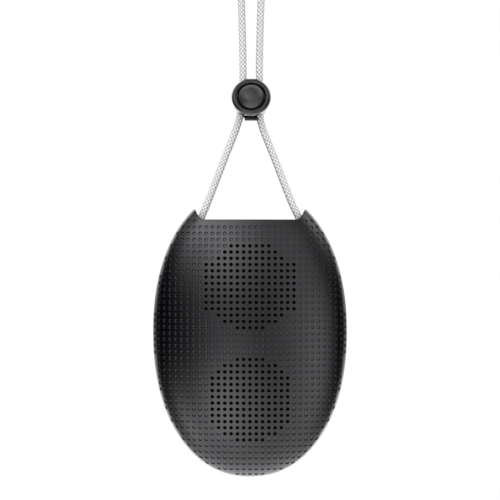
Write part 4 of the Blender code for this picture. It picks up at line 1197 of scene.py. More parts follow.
def make_stopper():
    """The tilted barrel that grips the cord, and its domed button."""
    place = at(STOPPER_X, CORD_Y, STOPPER_Z)
    body = [
        (0.0, 0.0088), (0.0033, 0.0088), (0.0033, 0.0058), (STOPPER_BORE, 0.0058),
        (STOPPER_BORE, -0.0067), (0.0070, -0.0071), (0.0073, -0.0075), (0.0077, -0.00775),
        (0.0082, -0.0078), (0.0087, -0.0077), (0.0092, -0.0074), (0.0096, -0.00695),
        (0.0098, -0.0066), (0.0098, -0.0061), (0.0096, -0.0058), (0.0089, -0.0057),
        (0.0086, -0.0055), (0.0086, -0.0051), (0.0088, -0.0049), (0.0090, -0.0047),
        (0.0091, -0.0042), (0.0090, -0.0025), (0.0089, 0.0), (0.0086, 0.0016),
        (0.0083, 0.0030), (0.0080, 0.0042), (0.0076, 0.0055), (0.0070, 0.0075),
        (0.0060, 0.0092), (0.0051, 0.0100), (0.0040, 0.0107), (0.0021, 0.0114), (0.0, 0.0117),
    ]
    housing = turned("stopper_barrel", body, gloss_look, place)
    housing.rotation_euler.x = -STOPPER_TILT
    cuts = []
    slot_width = SLOT_HALF_WIDTH - SLOT_INNER
    relief_width = SLOT_HALF_WIDTH - LEG_RELIEF_INNER
    relief_depth = LEG_RELIEF_FRONT + SLOT_DEPTH
    for side in (-1, 1):
        x = STOPPER_X + side * (SLOT_INNER + slot_width / 2)
        cuts.append(block("slot", (slot_width, 2 * SLOT_DEPTH, SLOT_HEIGHT), gloss_look,
                          at(x, CORD_Y, STOPPER_Z)))
        x = STOPPER_X + side * (LEG_RELIEF_INNER + relief_width / 2)
        cuts.append(block("relief", (relief_width, relief_depth, RELIEF_HEIGHT), gloss_look,
                          at(x, CORD_Y + SLOT_DEPTH - relief_depth / 2,
                             STOPPER_Z - LEG_RELIEF_DROP - RELIEF_HEIGHT / 2)))
    flat_size = (2 * LEG_RELIEF_INNER + 0.0006, FLAT_DEPTH, RELIEF_HEIGHT)
    cuts.append(block("flat_front", flat_size, gloss_look,
                      at(STOPPER_X, CORD_Y - SLOT_DEPTH - FLAT_DEPTH / 2,
                         STOPPER_Z - KEEPER_TOP - RELIEF_HEIGHT / 2)))
    combine(housing, cuts)
    tab = block("leg_keeper", (KEEPER_WIDTH, KEEPER_DEPTH, KEEPER_HEIGHT), gloss_look,
                at(STOPPER_X, CORD_Y, STOPPER_Z - KEEPER_DROP + KEEPER_HEIGHT / 2), 0.0006)
    combine(housing, [tab], "UNION")

    dome = [(0.0061 * i / 12, -0.0097 + 0.0020 * (i / 12) ** 2.4) for i in range(13)]
    shoulder = [(0.0064, -0.0073), (0.00655, -0.0069), (PLUNGER_RADIUS, -0.0064)]
    button = turned("stopper_push_button", dome + shoulder + [(PLUNGER_RADIUS, SLOT_DEPTH + 0.0010)],
                    button_look, place)
    button.rotation_euler.x = -STOPPER_TILT
    front = -(SLOT_DEPTH + PLUNGER_TRAVEL)
    width = 0.012
    cuts = [block("button_slot", (width, SLOT_DEPTH - front, SLOT_HEIGHT), gloss_look,
                  at(STOPPER_X + side * (PLUNGER_WEB + width / 2),
                     CORD_Y + (SLOT_DEPTH + front) / 2, STOPPER_Z)) for side in (-1, 1)]
    combine(button, cuts)
    stand_for(housing, "stopper", "stopper_plastic", "stopper_housing")
    stand_for(button, "stopper_plunger", "stopper_plastic", "stopper_button")
    return housing, button


def make_spring():
    """The button's return spring, with closed ends."""
    sides, per_turn = 12, 32
    count = SPRING_TURNS * per_turn
    share = np.linspace(0.0, 1.0, count + 1)
    turn = share * SPRING_TURNS * math.tau
    rise = SPRING_START + (SPRING_END - SPRING_START) * smoothstep((share - 0.1) / 0.8)
    out = np.stack([np.cos(turn), np.zeros(count + 1), np.sin(turn)], 1)
    path = out * SPRING_RADIUS + np.stack([0 * rise, rise, 0 * rise], 1)
    around = np.arange(sides) * math.tau / sides
    ring = (out[:, None] * np.cos(around)[None, :, None]
            + np.array([0.0, 1.0, 0.0]) * np.sin(around)[None, :, None])
    points = (path[:, None] + ring * SPRING_WIRE).reshape(-1, 3)
    place = at(STOPPER_X, CORD_Y, STOPPER_Z)
    spring = make_object("stopper_coil_spring", points, tube_faces(count + 1, sides), spring_look,
                         place)
    spring.rotation_euler.x = -STOPPER_TILT
    stand_for(spring, "stopper", "spring_steel", "stopper_spring")
    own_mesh(spring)
    return spring


stopper_barrel, stopper_push_button = make_stopper()
stopper_coil_spring = make_spring()
cord_look = make_cord_look()
# The last argument is the turn where each cord's inner, lower side falls in shade and gets its painted
# dark line.
for side, which in ((-1, "left"), (1, "right")):
    leg, leg_path, leg_length = make_braided_cord(f"cord_{which}_braid", leg_route(side), cord_look,
                                                  0.25 + 0.17 * side)
    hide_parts(f"cord_{which}")
    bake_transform(leg)
loop, loop_path, loop_length = make_braided_cord("cord_loop_braid", loop_route(), cord_look, 0.12)
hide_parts("cord_loop")
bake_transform(loop)


# ---- case ---------------------------------------------------------------------------------------
def ring_in_plane(skin, outline_points, y, normals):
    """A ring of (x, z) places at one or many y levels."""
    levels = np.broadcast_to(y, len(outline_points))
    points = np.stack([outline_points[:, 0], levels, outline_points[:, 1]], 1)
    return skin.add(points, np.broadcast_to(normals, points.shape))


def radial(outline_points, centre, outward):
    """Sideways normals of a ring, away from its centre or towards it."""
    away = outline_points - np.array(centre)
    away /= np.linalg.norm(away, axis=1, keepdims=True)
    if not outward:
        away = -away
    return np.stack([away[:, 0], np.zeros(len(away)), away[:, 1]], 1)


def run_rings(skin, ring, steps):
    """Bridges on from a ring through (outline, y, normals) steps; gives back the last ring."""
    for outline_points, y, normals in steps:
        following = ring_in_plane(skin, outline_points, y, normals)
        skin.bridge(ring, following)
        ring = following
    return ring


class ScrewWell:
    """A counterbore down to a screw's head, with its boss running on to the baffle."""

    def __init__(self, x, z):
        self.centre = (x, z)
        self.keep_clear = (x, z, 0.0044, 0.0044)

    def __call__(self, skin, outer, inner):
        sides = 28
        mouth = circle(HEAD_BORE + 0.0003, sides, self.centre)
        on_dome = outer.place(mouth[:, 0], mouth[:, 1])
        normals = outer.normal(on_dome)
        ring = skin.add(on_dome, normals)
        head = circle(HEAD_BORE, sides, self.centre)
        drop = on_dome[:, 1] - 0.0003
        inwards = radial(head, self.centre, False)
        softened = normals + inwards
        softened /= np.linalg.norm(softened, axis=1, keepdims=True)
        facing = (0.0, 1.0, 0.0)
        foot = BAFFLE_BACK_Y + SEAM_GAP
        bore = circle(SCREW_BORE, sides, self.centre)
        bore_walls = radial(bore, self.centre, False)
        boss = circle(BOSS_RADIUS, sides, self.centre)
        boss_walls = radial(boss, self.centre, True)
        boss_end = run_rings(skin, ring, (
            (head, drop, softened), (head, HEAD_SEAT_Y, inwards), (head, HEAD_SEAT_Y, facing),
            (bore, HEAD_SEAT_Y, facing), (bore, HEAD_SEAT_Y, bore_walls), (bore, foot, bore_walls),
            (boss, foot, boss_walls)))
        on_inside = inner.place(boss[:, 0], boss[:, 1])
        root = skin.add(on_inside, boss_walls)
        skin.bridge(boss_end, root)
        return ring, root


class Port:
    """The shallow recess for the port's cover, with the mouth through its floor."""

    keep_clear = (0.0, PORT_Z, 0.0108, 0.0078)

    def __call__(self, skin, outer, inner):
        centre = np.array([0.0, PORT_Z])
        steps = 8
        recess = rounded_rectangle(0.0180, 0.0120, 0.0018, steps) + centre
        edge = rounded_rectangle(0.0184, 0.0124, 0.0020, steps) + centre
        facing = (0.0, 1.0, 0.0)
        inwards = radial(recess, centre, False)
        ring = ring_in_plane(skin, edge, REAR_FLAT_Y, facing)
        floor_y = REAR_FLAT_Y - PORT_RECESS
        mouth = rounded_rectangle(0.0102, 0.0046, 0.0020, steps) + centre
        mouth_walls = radial(mouth, centre, False)
        mouth_top = run_rings(skin, ring, (
            (recess, REAR_FLAT_Y - 0.0002, inwards), (recess, floor_y, inwards),
            (recess, floor_y, facing), (mouth, floor_y, facing), (mouth, floor_y, mouth_walls)))
        inside = inner.place(mouth[:, 0], mouth[:, 1])
        end = skin.add(inside, mouth_walls)
        skin.bridge(mouth_top, end)
        return ring, end


class PadSeat:
    """Keeps the dimples away from the rear pad, where the case stays plain."""

    keep_clear = (0.0, PAD_Z, 0.0160, 0.0120)


front = make_shell("front_shell_dimpled", FRONT, FRONT_INSIDE, True, case_look)
stand_for(front, "speaker", "case_plastic", "front_shell")
rear = make_shell("rear_shell_dimpled", REAR, REAR_INSIDE, False, case_look,
                  [ScrewWell(x, z) for x, z in SCREW_SPOTS] + [Port()], [PadSeat()])
stand_for(rear, "speaker", "case_plastic", "rear_shell")


# ---- deck, keys and grommets ----------------------------------------------------------------------
DECK_TOP_Z = 0.0540
DECK_THICKNESS = 0.0025
DECK_HALF_WIDTH = 0.0300
KEY_SPACING = 0.0100
KEY_Y = 0.0050
KEY_RADIUS = 0.0039
KEY_FLANGE_RADIUS = 0.0047
KEY_TOP_Z = 0.0549
KEY_FLANGE_BOTTOM = 0.0505
KEYS = ("power", "volume_down", "play", "volume_up")
SYMBOL_RELIEF = 0.00018
DECK_BOTTOM_Z = DECK_TOP_Z - DECK_THICKNESS
STATUS_LIGHT_Y = 0.0120


def key_x(number):
    """The keys stand in a row about the case's middle."""
    return KEY_SPACING * (number - (len(KEYS) - 1) / 2)


def deck_outline(count=48):
    """The inside of the case at the deck's height, a little drawn in."""
    x = np.linspace(-DECK_HALF_WIDTH, DECK_HALF_WIDTH, count + 1)
    z = np.full_like(x, DECK_TOP_Z)
    gap = 0.0005
    front_edge = -FRONT_INSIDE.height(x, z) + gap
    rear_edge = REAR_INSIDE.height(x, z) - gap
    return list(zip(x, front_edge)) + list(zip(x[::-1], rear_edge[::-1]))


def make_deck():
    deck = plate("deck_panel", deck_outline(), DECK_BOTTOM_Z, DECK_TOP_Z, deck_look, CENTRE, "Z")
    holes = [(key_x(i), KEY_Y, KEY_RADIUS + 0.0003) for i in range(len(KEYS))]
    holes += [(side * CORD_EXIT_X, CORD_Y, 0.0037) for side in (-1, 1)]
    holes.append((0.0, STATUS_LIGHT_Y, 0.0015))
    cutters = []
    chamfer = 0.0003
    for x, y, radius in holes:
        profile = [(radius, -0.02), (radius, -chamfer), (radius + 2 * chamfer, chamfer)]
        cutters.append(turned("deck_hole", profile, deck_look, at(x, y, DECK_TOP_Z), "Z", 64))
    combine(deck, cutters)
    stand_for(deck, "speaker", "deck_plastic", "top_deck")


def symbol_strokes(key):
    """Plain generic symbols as capsules (x0, y0, x1, y1, half width), in metres."""
    if key == "volume_down":
        return [(-0.0013, 0.0, 0.0013, 0.0, 0.0003)]
    if key == "volume_up":
        return [(-0.0013, 0.0, 0.0013, 0.0, 0.0003), (0.0, -0.0013, 0.0, 0.0013, 0.0003)]
    if key == "play":
        return [(-0.0008, -0.0011, -0.0008, 0.0011, 0.0003),
                (-0.0008, 0.0011, 0.0012, 0.0, 0.0003), (-0.0008, -0.0011, 0.0012, 0.0, 0.0003)]
    arc = [math.radians(angle) for angle in range(130, 411, 20)]
    ring = [(0.0013 * math.cos(a), 0.0013 * math.sin(a)) for a in arc]
    strokes = [(x0, y0, x1, y1, 0.00027) for (x0, y0), (x1, y1) in zip(ring, ring[1:])]
    return strokes + [(0.0, 0.0004, 0.0, 0.0017, 0.00027)]


def key_height(x, y, key):
    """Height of a key's face: a slight dish with a raised rim and a raised symbol."""
    reach = np.hypot(x, y)
    dish = -0.00016 * (1.0 - smoothstep((reach - 0.0020) / 0.0012))
    symbol = np.zeros_like(x)
    for x0, y0, x1, y1, half in symbol_strokes(key):
        along = np.array([x1 - x0, y1 - y0])
        length = along @ along
        share = np.clip(((x - x0) * along[0] + (y - y0) * along[1]) / length, 0.0, 1.0)
        away = np.hypot(x - x0 - along[0] * share, y - y0 - along[1] * share)
        symbol = np.maximum(symbol, 1.0 - smoothstep((away - half * 0.6) / (half * 0.8)))
    return dish + SYMBOL_RELIEF * symbol


def make_key(key, x):
    """A rubber key: flange, barrel, soft edge and a finely meshed face that carries its symbol."""
    sides, rings = 72, 22
    edge = 0.0005
    top = KEY_TOP_Z - 0.0001
    turn = np.arange(sides) * math.tau / sides
    profile = [(0.0, KEY_FLANGE_BOTTOM), (KEY_FLANGE_RADIUS - 0.0002, KEY_FLANGE_BOTTOM),
               (KEY_FLANGE_RADIUS, KEY_FLANGE_BOTTOM + 0.0002),
               (KEY_FLANGE_RADIUS, DECK_BOTTOM_Z - 0.0005),
               (KEY_FLANGE_RADIUS - 0.0002, DECK_BOTTOM_Z - 0.0003),
               (KEY_RADIUS, DECK_BOTTOM_Z - 0.0003)]
    profile += [(KEY_RADIUS - edge * (1 - math.cos(a)), top - edge + edge * math.sin(a))
                for a in [math.pi / 2 * i / 6 for i in range(7)]]
    face_radius = KEY_RADIUS - edge
    points, loops = lathe(profile, sides, "Z")
    for i in range(1, rings):
        radius = face_radius * (1 - i / rings)
        across, up = radius * np.cos(turn), radius * np.sin(turn)
        first = len(points)
        points.extend(zip(across, up, top + key_height(across, up, key)))
        loops.append(list(range(first, first + sides)))
    loops.append([len(points)])
    points.append((0.0, 0.0, top + float(key_height(np.zeros(1), np.zeros(1), key)[0])))
    faces = []
    for low, high in zip(loops, loops[1:]):
        faces += band(low, high)
    made = make_object(f"key_cap_{key}", points, faces, key_look, at(x, KEY_Y, 0.0), 50.0)
    outward_facing(made)
    stand_for(made, f"{key}_key", "key_silicone", f"key_{key}")


def make_grommet(which, side):
    bore = CORD_RADIUS + 0.0003
    top = DECK_TOP_Z + 0.0010
    profile = [
        (bore, DECK_BOTTOM_Z - 0.0010), (0.0041, DECK_BOTTOM_Z - 0.0010),
        (0.0043, DECK_BOTTOM_Z - 0.0008), (0.0043, DECK_BOTTOM_Z - 0.0003),
        (0.0034, DECK_BOTTOM_Z - 0.0003), (0.0034, DECK_TOP_Z + 0.0003),
        (0.0042, DECK_TOP_Z + 0.0003), (0.0043, DECK_TOP_Z + 0.0004),
        (0.0043, top - 0.0003), (0.0042, top - 0.0001), (0.0040, top), (0.0031, top),
        (0.0028, top - 0.0001), (0.0025, top - 0.0004), (bore, DECK_TOP_Z - 0.0006),
    ]
    made = ring_solid(f"grommet_{which}", profile, rubber_look, at(side * CORD_EXIT_X, CORD_Y, 0.0),
                      "Z", 72)
    stand_for(made, "speaker", "seal_rubber", f"cord_grommet_{which}")


deck_look = procedural("deck_satin", (0.010, 0.0102, 0.0108), 0.42, relief=0.00003)
key_look = procedural("key_rubber", (0.022, 0.022, 0.024), 0.55, relief=0.00002, wear=0.5)
make_deck()
for number, key_name in enumerate(KEYS):
    make_key(key_name, key_x(number))
make_grommet("left", -1)
make_grommet("right", 1)


# ---- rear fittings ---------------------------------------------------------------------------------
PAD_RELIEF = 0.0003


def make_rear_pad():
    """A rubber pad with a soft edge and a row of shallow grip ribs."""
    outline_points = rounded_rectangle(0.0300, 0.0220, 0.0050, 10)
    low, high = REAR_FLAT_Y + 0.0003, REAR_FLAT_Y + 0.0011
    pad = plate("back_pad", outline_points, low, high, pad_look, at(0.0, 0.0, PAD_Z), "Y", 0.00025)
    grooves = []
    for i in range(-4, 5):
        groove = block("groove", (0.0240, 2 * PAD_RELIEF, 0.0008), pad_look,
                       at(0.0, high, PAD_Z + 0.0020 * i), 0.00012, 2)
        grooves.append(groove)
    combine(pad, grooves)
    stand_for(pad, "speaker", "seal_rubber", "rear_pad")


def make_port_cover():
    """The port's rubber flap: rounded plate with a finger dip and a crease cut in, and the plug behind
    it.
    """
    floor_y = REAR_FLAT_Y - PORT_RECESS
    outline_points = rounded_rectangle(0.0174, 0.0114, 0.0015, 8)
    cover = plate("port_flap_cover", outline_points, floor_y + 0.0003, REAR_FLAT_Y, rubber_look,
                  at(0.0, 0.0, PORT_Z), "Y", 0.0002)
    plug = plate("plug", rounded_rectangle(0.0094, 0.0038, 0.0016, 8), 0.0216, floor_y + 0.0006,
                 rubber_look, at(0.0, 0.0, PORT_Z), "Y", 0.0003)
    combine(cover, [plug], "UNION")
    thumb = turned("thumb", [(0.0, -0.0022), (0.0019, -0.0016), (0.0026, -0.0002), (0.0, 0.0024)],
                   rubber_look, at(0.0, REAR_FLAT_Y + 0.0013, PORT_Z + 0.0046), "Y", 48)
    fold = block("fold", (0.0150, 0.0004, 0.0004), rubber_look,
                 at(0.0, REAR_FLAT_Y, PORT_Z - 0.0046), 0.0001, 2)
    combine(cover, [thumb, fold])
    stand_for(cover, "port_flap", "seal_rubber", "port_cover")


def cut_cross(screw, place, length, depth, width):
    """Cuts a cross recess into a screw's head."""
    sizes = ((length, depth, width), (width, depth, length))
    combine(screw, [block("blade", size, steel_look, place) for size in sizes])


def make_case_screw(spot, x, z):
    """A cross-recess case screw with a rounded head and a threaded shank."""
    seat = HEAD_SEAT_Y + 0.0003
    profile = [(0.0, seat + 0.0017), (0.0010, seat + 0.00165), (0.0018, seat + 0.0014),
               (0.0022, seat + 0.0010), (0.0023, seat + 0.0007), (0.0023, seat), (0.0012, seat)]
    thread_pitch = 0.0006
    count = 19
    for i in range(count):
        y = seat - 0.0006 - i * thread_pitch
        profile += [(0.00095, y), (0.0012, y - thread_pitch / 2)]
    profile += [(0.0007, -0.0026), (0.0, -0.0030)]
    screw = turned(f"screw_{spot}", profile, steel_look, at(x, 0.0, z), "Y", 48)
    cut_cross(screw, at(x, seat + 0.0014, z), 0.0026, 0.0016, 0.0005)
    stand_for(screw, "speaker", "screw_steel", f"case_screw_{spot}")


pad_look = procedural("pad_rubber", (0.014, 0.014, 0.0145), 0.7, relief=0.00004)
steel_look = procedural("case_screw_steel", (0.34, 0.34, 0.35), 0.34, 1.0, spread=0.08, wear=0.6,
                        relief=0.000008)
make_rear_pad()
make_port_cover()
for spot_name, (spot_x, spot_z) in zip(("upper_left", "upper_right", "lower_left", "lower_right"),
                                       SCREW_SPOTS):
    make_case_screw(spot_name, spot_x, spot_z)


# ---- inside ------------------------------------------------------------------------------------------
DRIVERS = {"upper": 0.0224, "lower": -0.0340}
KEY_BOARD_TOP_Z = 0.0472
BOARD_Y = 0.0140
BOARD_THICKNESS = 0.0012
DRIVER_SCREW_REACH = 0.0196 * math.sqrt(0.5)


def woven(name, colour, pitch, roughness=0.9, relief=0.00005):
    """A plain weave: two crossed sets of threads that pass over and under each other."""
    look, nodes, shader, place = start_look(name)
    split = nodes.add("ShaderNodeSeparateXYZ", Vector=place)
    warp = nodes.wave(split.outputs["X"], pitch)
    weft = nodes.wave(split.outputs["Z"], pitch)
    height = nodes.math("MULTIPLY_ADD", nodes.math("MULTIPLY", warp, weft), 0.5, 0.5)
    fibres = nodes.noise(9000.0, 2.0, 0.6, place)
    # Painted shade: the threads turn darker where they dip under each other, mixed with fibre-to-fibre
    # tone.
    share = nodes.ramp(nodes.math("MULTIPLY_ADD", fibres, 0.4, height), 0.1, 1.2)
    tone = nodes.mix(share, shade(colour, 0.45), shade(colour, 1.35))
    gloss = nodes.ramp(fibres, 0.3, 0.7, roughness - 0.06, min(1.0, roughness + 0.06))
    finish_look(nodes, shader, tone, gloss, share, relief)
    shader.inputs["Sheen Weight"].default_value = 0.2
    return look


def machined(name, colour, roughness, pitch, along=None, relief=0.000012):
    """Fine turning marks round the piece's Y axis, or windings spaced along Y."""
    look, nodes, shader, place = start_look(name)
    split = nodes.add("ShaderNodeSeparateXYZ", Vector=place)
    if along == "Y":
        distance = split.outputs["Y"]
    else:
        squares = nodes.math("MULTIPLY_ADD", split.outputs["Z"], split.outputs["Z"],
                             nodes.math("MULTIPLY", split.outputs["X"], split.outputs["X"]))
        distance = nodes.math("SQRT", squares)
    marks = nodes.wave(distance, pitch)
    blotches = nodes.noise(700.0, 4.0, 0.6, place)
    height = nodes.ramp(nodes.math("MULTIPLY_ADD", blotches, 1.6, marks), -1.0, 2.6)
    tone = nodes.mix(height, shade(colour, 0.72), shade(colour, 1.12))
    gloss = nodes.ramp(blotches, 0.3, 0.7, roughness - 0.07, roughness + 0.09)
    finish_look(nodes, shader, tone, gloss, height, relief)
    shader.inputs["Metallic"].default_value = 1.0
    return look


def arc_points(centre, radii, start, end, steps):
    """Points (radius, y) along an elliptic arc, between two angles in degrees."""
    turns = [math.radians(start + (end - start) * i / steps) for i in range(steps + 1)]
    return [(centre[0] + radii[0] * math.cos(t), centre[1] + radii[1] * math.sin(t)) for t in turns]


def thick_line(points, thickness):
    """A closed profile: an open line of (radius, y) given a thickness in y."""
    return points + [(radius, y + thickness) for radius, y in reversed(points)]


def make_grille_cloth(which, centre_z):
    """A round of woven cloth that follows the inside of the case behind the holes."""
    rings, sides = 16, 72
    gap, thickness = 0.0007, 0.0003
    radius = 0.0240
    turns = np.arange(sides) * math.tau / sides
    points, layers = [], []
    for depth in (gap, gap + thickness):
        loops = []
        for ring in range(rings, -1, -1):
            reach = radius * ring / rings
            x = reach * np.cos(turns if ring else turns[:1])
            z = centre_z + reach * np.sin(turns if ring else turns[:1])
            y = -FRONT_INSIDE.height(x, z) + depth
            loops.append(list(range(len(points), len(points) + len(x))))
            points.extend(zip(x, y, z - centre_z))
        layers.append(loops)
    faces = band(layers[0][0], layers[1][0])
    for loops in layers:
        for low, high in zip(loops, loops[1:]):
            faces += band(low, high)
    cloth = outward_facing(make_object(f"{which}_cloth_weave", points, faces, cloth_look,
                                       at(0.0, 0.0, centre_z), 40.0))
    stand_for(cloth, "speaker", "cloth", f"{which}_grille_cloth")


def make_driver(which, centre_z):
    """A finely turned 40 mm driver in place of the plain CAD one."""
    place = at(0.0, 0.0, centre_z)
    flange = [(0.0160, -0.0043), (0.0162, -0.0044), (0.0212, -0.0044), (0.0215, -0.0042),
              (0.0215, -0.0037), (0.0213, -0.0035), (0.0177, -0.0035), (0.0174, -0.0032)]
    bowl = [(0.0166, -0.0002), (0.0160, 0.0022), (0.0156, 0.0026), (0.0154, 0.0044),
            (0.0150, 0.0061), (0.0147, 0.0065), (0.0076, 0.0065), (0.0074, 0.0063),
            (0.0074, 0.0055), (0.0076, 0.0053), (0.0136, 0.0053), (0.0140, 0.0050),
            (0.0152, 0.0008), (0.0163, -0.0037)]
    basket = ring_solid(f"{which}_basket_pressing", flange + bowl, basket_look, place)
    screw_spots = [place + Vector((side * DRIVER_SCREW_REACH, 0.0, -side * DRIVER_SCREW_REACH))
                   for side in (-1, 1)]
    holes = [turned("screw_hole", [(0.0013, -0.02), (0.0013, 0.0)], basket_look, spot, "Y", 32)
             for spot in screw_spots]
    for i in range(4):
        turn = math.radians(90 * i)
        window = block("basket_window", (0.0085, 0.0030, 0.0085), basket_look,
                       place + Vector((0.0160 * math.cos(turn), 0.0037, 0.0160 * math.sin(turn))),
                       0.0008, 3)
        window.rotation_euler.y = -turn
        holes.append(window)
    combine(basket, holes)
    stand_for(basket, "speaker", "basket_steel", f"{which}_basket")

    edge = 0.0004
    magnet = [(0.0086 + edge, 0.0068), (0.0145 - edge, 0.0068), (0.0145, 0.0068 + edge),
              (0.0145, 0.0110 - edge), (0.0145 - edge, 0.0110), (0.0086 + edge, 0.0110),
              (0.0086, 0.0110 - edge), (0.0086, 0.0068 + edge)]
    yoke = [(0.0, 0.0130), (0.0020, 0.0130), (0.0024, 0.0126), (0.0030, 0.0126), (0.0034, 0.0130),
            (0.0131, 0.0130), (0.0135, 0.0127), (0.0135, 0.0115), (0.0133, 0.0113),
            (0.0064, 0.0113), (0.0063, 0.0112), (0.0063, 0.0033), (0.0060, 0.0030), (0.0, 0.0030)]
    waves = 6
    steps = waves * 8
    damper = [(0.0073 + 0.0071 * i / steps,
               0.0028 - 0.00028 * math.cos(math.tau * waves * i / steps)) for i in range(steps + 1)]
    roll = arc_points((0.0145, -0.0051), (0.0016, 0.0010), 180.0, 360.0, 16)
    surround = [(0.0120, -0.0051)] + roll + [(0.0178, -0.0051)]
    coil = [(0.0066, 0.0002), (0.0070, 0.0002), (0.0070, 0.0080), (0.0066, 0.0080)]
    flare = [(0.0073 + 0.0042 * i / 16, 0.0005 - 0.0048 * (i / 16) ** 1.12) for i in range(17)]
    dome = [(0.0079 * i / 16, -0.0010 - 0.0020 * (1 - (i / 16) ** 2)) for i in range(17)]
    moving = f"{which}_cone_assembly"
    for make, name, profile, look, body, slot, node in (
            (ring_solid, "magnet_ring", magnet, ferrite_look, "speaker", "magnet_ferrite", "magnet"),
            (turned, "pole_piece", yoke, turned_steel_look, "speaker", "yoke_steel", "yoke"),
            (ring_solid, "damper_waves", thick_line(damper, 0.0003), damper_look, "speaker",
             "damper_cloth", "damper"),
            (ring_solid, "surround_roll", thick_line(surround, 0.0004), surround_look, "speaker",
             "surround_rubber", "surround"),
            (ring_solid, "coil_winding", coil, winding_look, moving, "coil_copper", "voice_coil"),
            (ring_solid, "cone_flare", thick_line(flare, 0.0005), paper_look, moving,
             "cone_paper", "cone"),
            (turned, "cap_dome", thick_line(dome, 0.0004), cap_look, moving,
             "cone_paper", "dust_cap")):
        piece = make(f"{which}_{name}", profile, look, place)
        stand_for(piece, body, slot, f"{which}_{node}")

    head = [(0.0, -0.0055), (0.0009, -0.00545), (0.0014, -0.0052), (0.0017, -0.0048),
            (0.0016, -0.0047), (0.0009, -0.0047)]
    for i in range(9):
        y = -0.0043 + 0.0005 * i
        head += [(0.0009, y), (0.0007, y + 0.00025)]
    head += [(0.0004, 0.0002), (0.0, 0.0005)]
    for number, spot in enumerate(screw_spots, 1):
        screw = turned(f"{which}_driver_screw_{number}", head, steel_look, spot, "Y", 40)
        cut_cross(screw, spot + Vector((0.0, -0.0054, 0.0)), 0.0018, 0.0008, 0.0004)
        stand_for(screw, "speaker", "screw_steel", f"{which}_screw_{number}")


def make_crimp(which, side):
    """A bright tube pinched in three bands round the cord's end."""
    bottom, top, bore, outer = 0.0462, 0.0492, 0.0021, 0.0030
    line = []
    steps = 36
    for i in range(steps + 1):
        share = i / steps
        pinch = math.sin(math.pi * 3 * share) ** 2
        line.append((outer - 0.00025 * pinch, bottom + (top - bottom) * share))
    crimp = ring_solid(f"crimp_tube_{which}", [(bore, bottom)] + line + [(bore, top)], crimp_look,
                       at(side * CORD_EXIT_X, CORD_Y, 0.0), "Z", 72)
    stand_for(crimp, "speaker", "crimp_metal", f"cord_crimp_{which}")


def make_key_board():
    """The board under the keys, its switches and the lens beside them."""
    board = plate("key_board_laminate", [(-0.0200, -0.0015), (0.0200, -0.0015), (0.0200, 0.0135),
                                         (-0.0200, 0.0135)],
                  KEY_BOARD_TOP_Z - BOARD_THICKNESS, KEY_BOARD_TOP_Z, board_look, CENTRE, "Z", 0.0001)
    stand_for(board, "speaker", "board_laminate", "key_board")
    bottom = KEY_BOARD_TOP_Z + SEAM_GAP
    for i, key in enumerate(KEYS):
        spot = at(key_x(i), KEY_Y, bottom)
        body = block(f"switch_body_{key}", (0.0048, 0.0048, 0.0018), chip_look,
                     spot + Vector((0.0, 0.0, 0.0009)), 0.0002, 2)
        nub = turned("nub", [(0.0, 0.0023), (0.0009, 0.0023), (0.0011, 0.0021), (0.0011, 0.0017)],
                     chip_look, spot, "Z", 48)
        combine(body, [nub], "UNION")
        stand_for(body, "speaker", "chip_epoxy", f"switch_{key}")
        for side in (-1, 1):
            for end in (-1, 1):
                pin = block(f"switch_pin_{key}_{side + 1}{end + 1}", (0.0008, 0.0005, 0.00015),
                            solder_look, spot + Vector((side * 0.0027, end * 0.0016, 0.0001)), 0.00004)
                stand_for(pin, "speaker", "shield_metal")
    profile = [(0.0, 0.0543), (0.0004, 0.05428), (0.0008, 0.0542), (0.0011, 0.05405),
               (0.0012, 0.0539), (0.0012, bottom), (0.0, bottom)]
    lens = turned("status_lens", profile, lens_look, at(0.0, STATUS_LIGHT_Y, 0.0), "Z", 48)
    stand_for(lens, "speaker", "light_lens", "status_light")


def make_small_parts(back):
    """Surface-mounted parts in rows: (x, z, width, height, depth, look)."""
    rows = [(-0.0180 + 0.0030 * i, 0.0385, 0.0016, 0.0008, 0.0005, ceramic_look) for i in range(8)]
    rows += [(-0.0185, 0.0150 + 0.0026 * i, 0.0008, 0.0016, 0.0005, ceramic_look) for i in range(6)]
    rows += [(-0.0065, 0.0195 + 0.0026 * i, 0.0008, 0.0016, 0.0005, chip_look) for i in range(5)]
    rows += [(-0.0120, 0.0160, 0.0040, 0.0036, 0.0018, ferrite_look),
             (-0.0120, 0.0325, 0.0044, 0.0044, 0.0020, ferrite_look),
             (0.0105, 0.0165, 0.0050, 0.0034, 0.0012, chip_look),
             (0.0175, 0.0160, 0.0034, 0.0044, 0.0022, connector_look)]
    for number, (x, z, width, height, depth, look) in enumerate(rows):
        spot = at(x, back + depth / 2, z)
        part = block(f"board_part_{number}", (width, depth, height), look, spot,
                     min(width, height, depth) * 0.12, 2)
        stand_for(part, "speaker", "chip_epoxy")


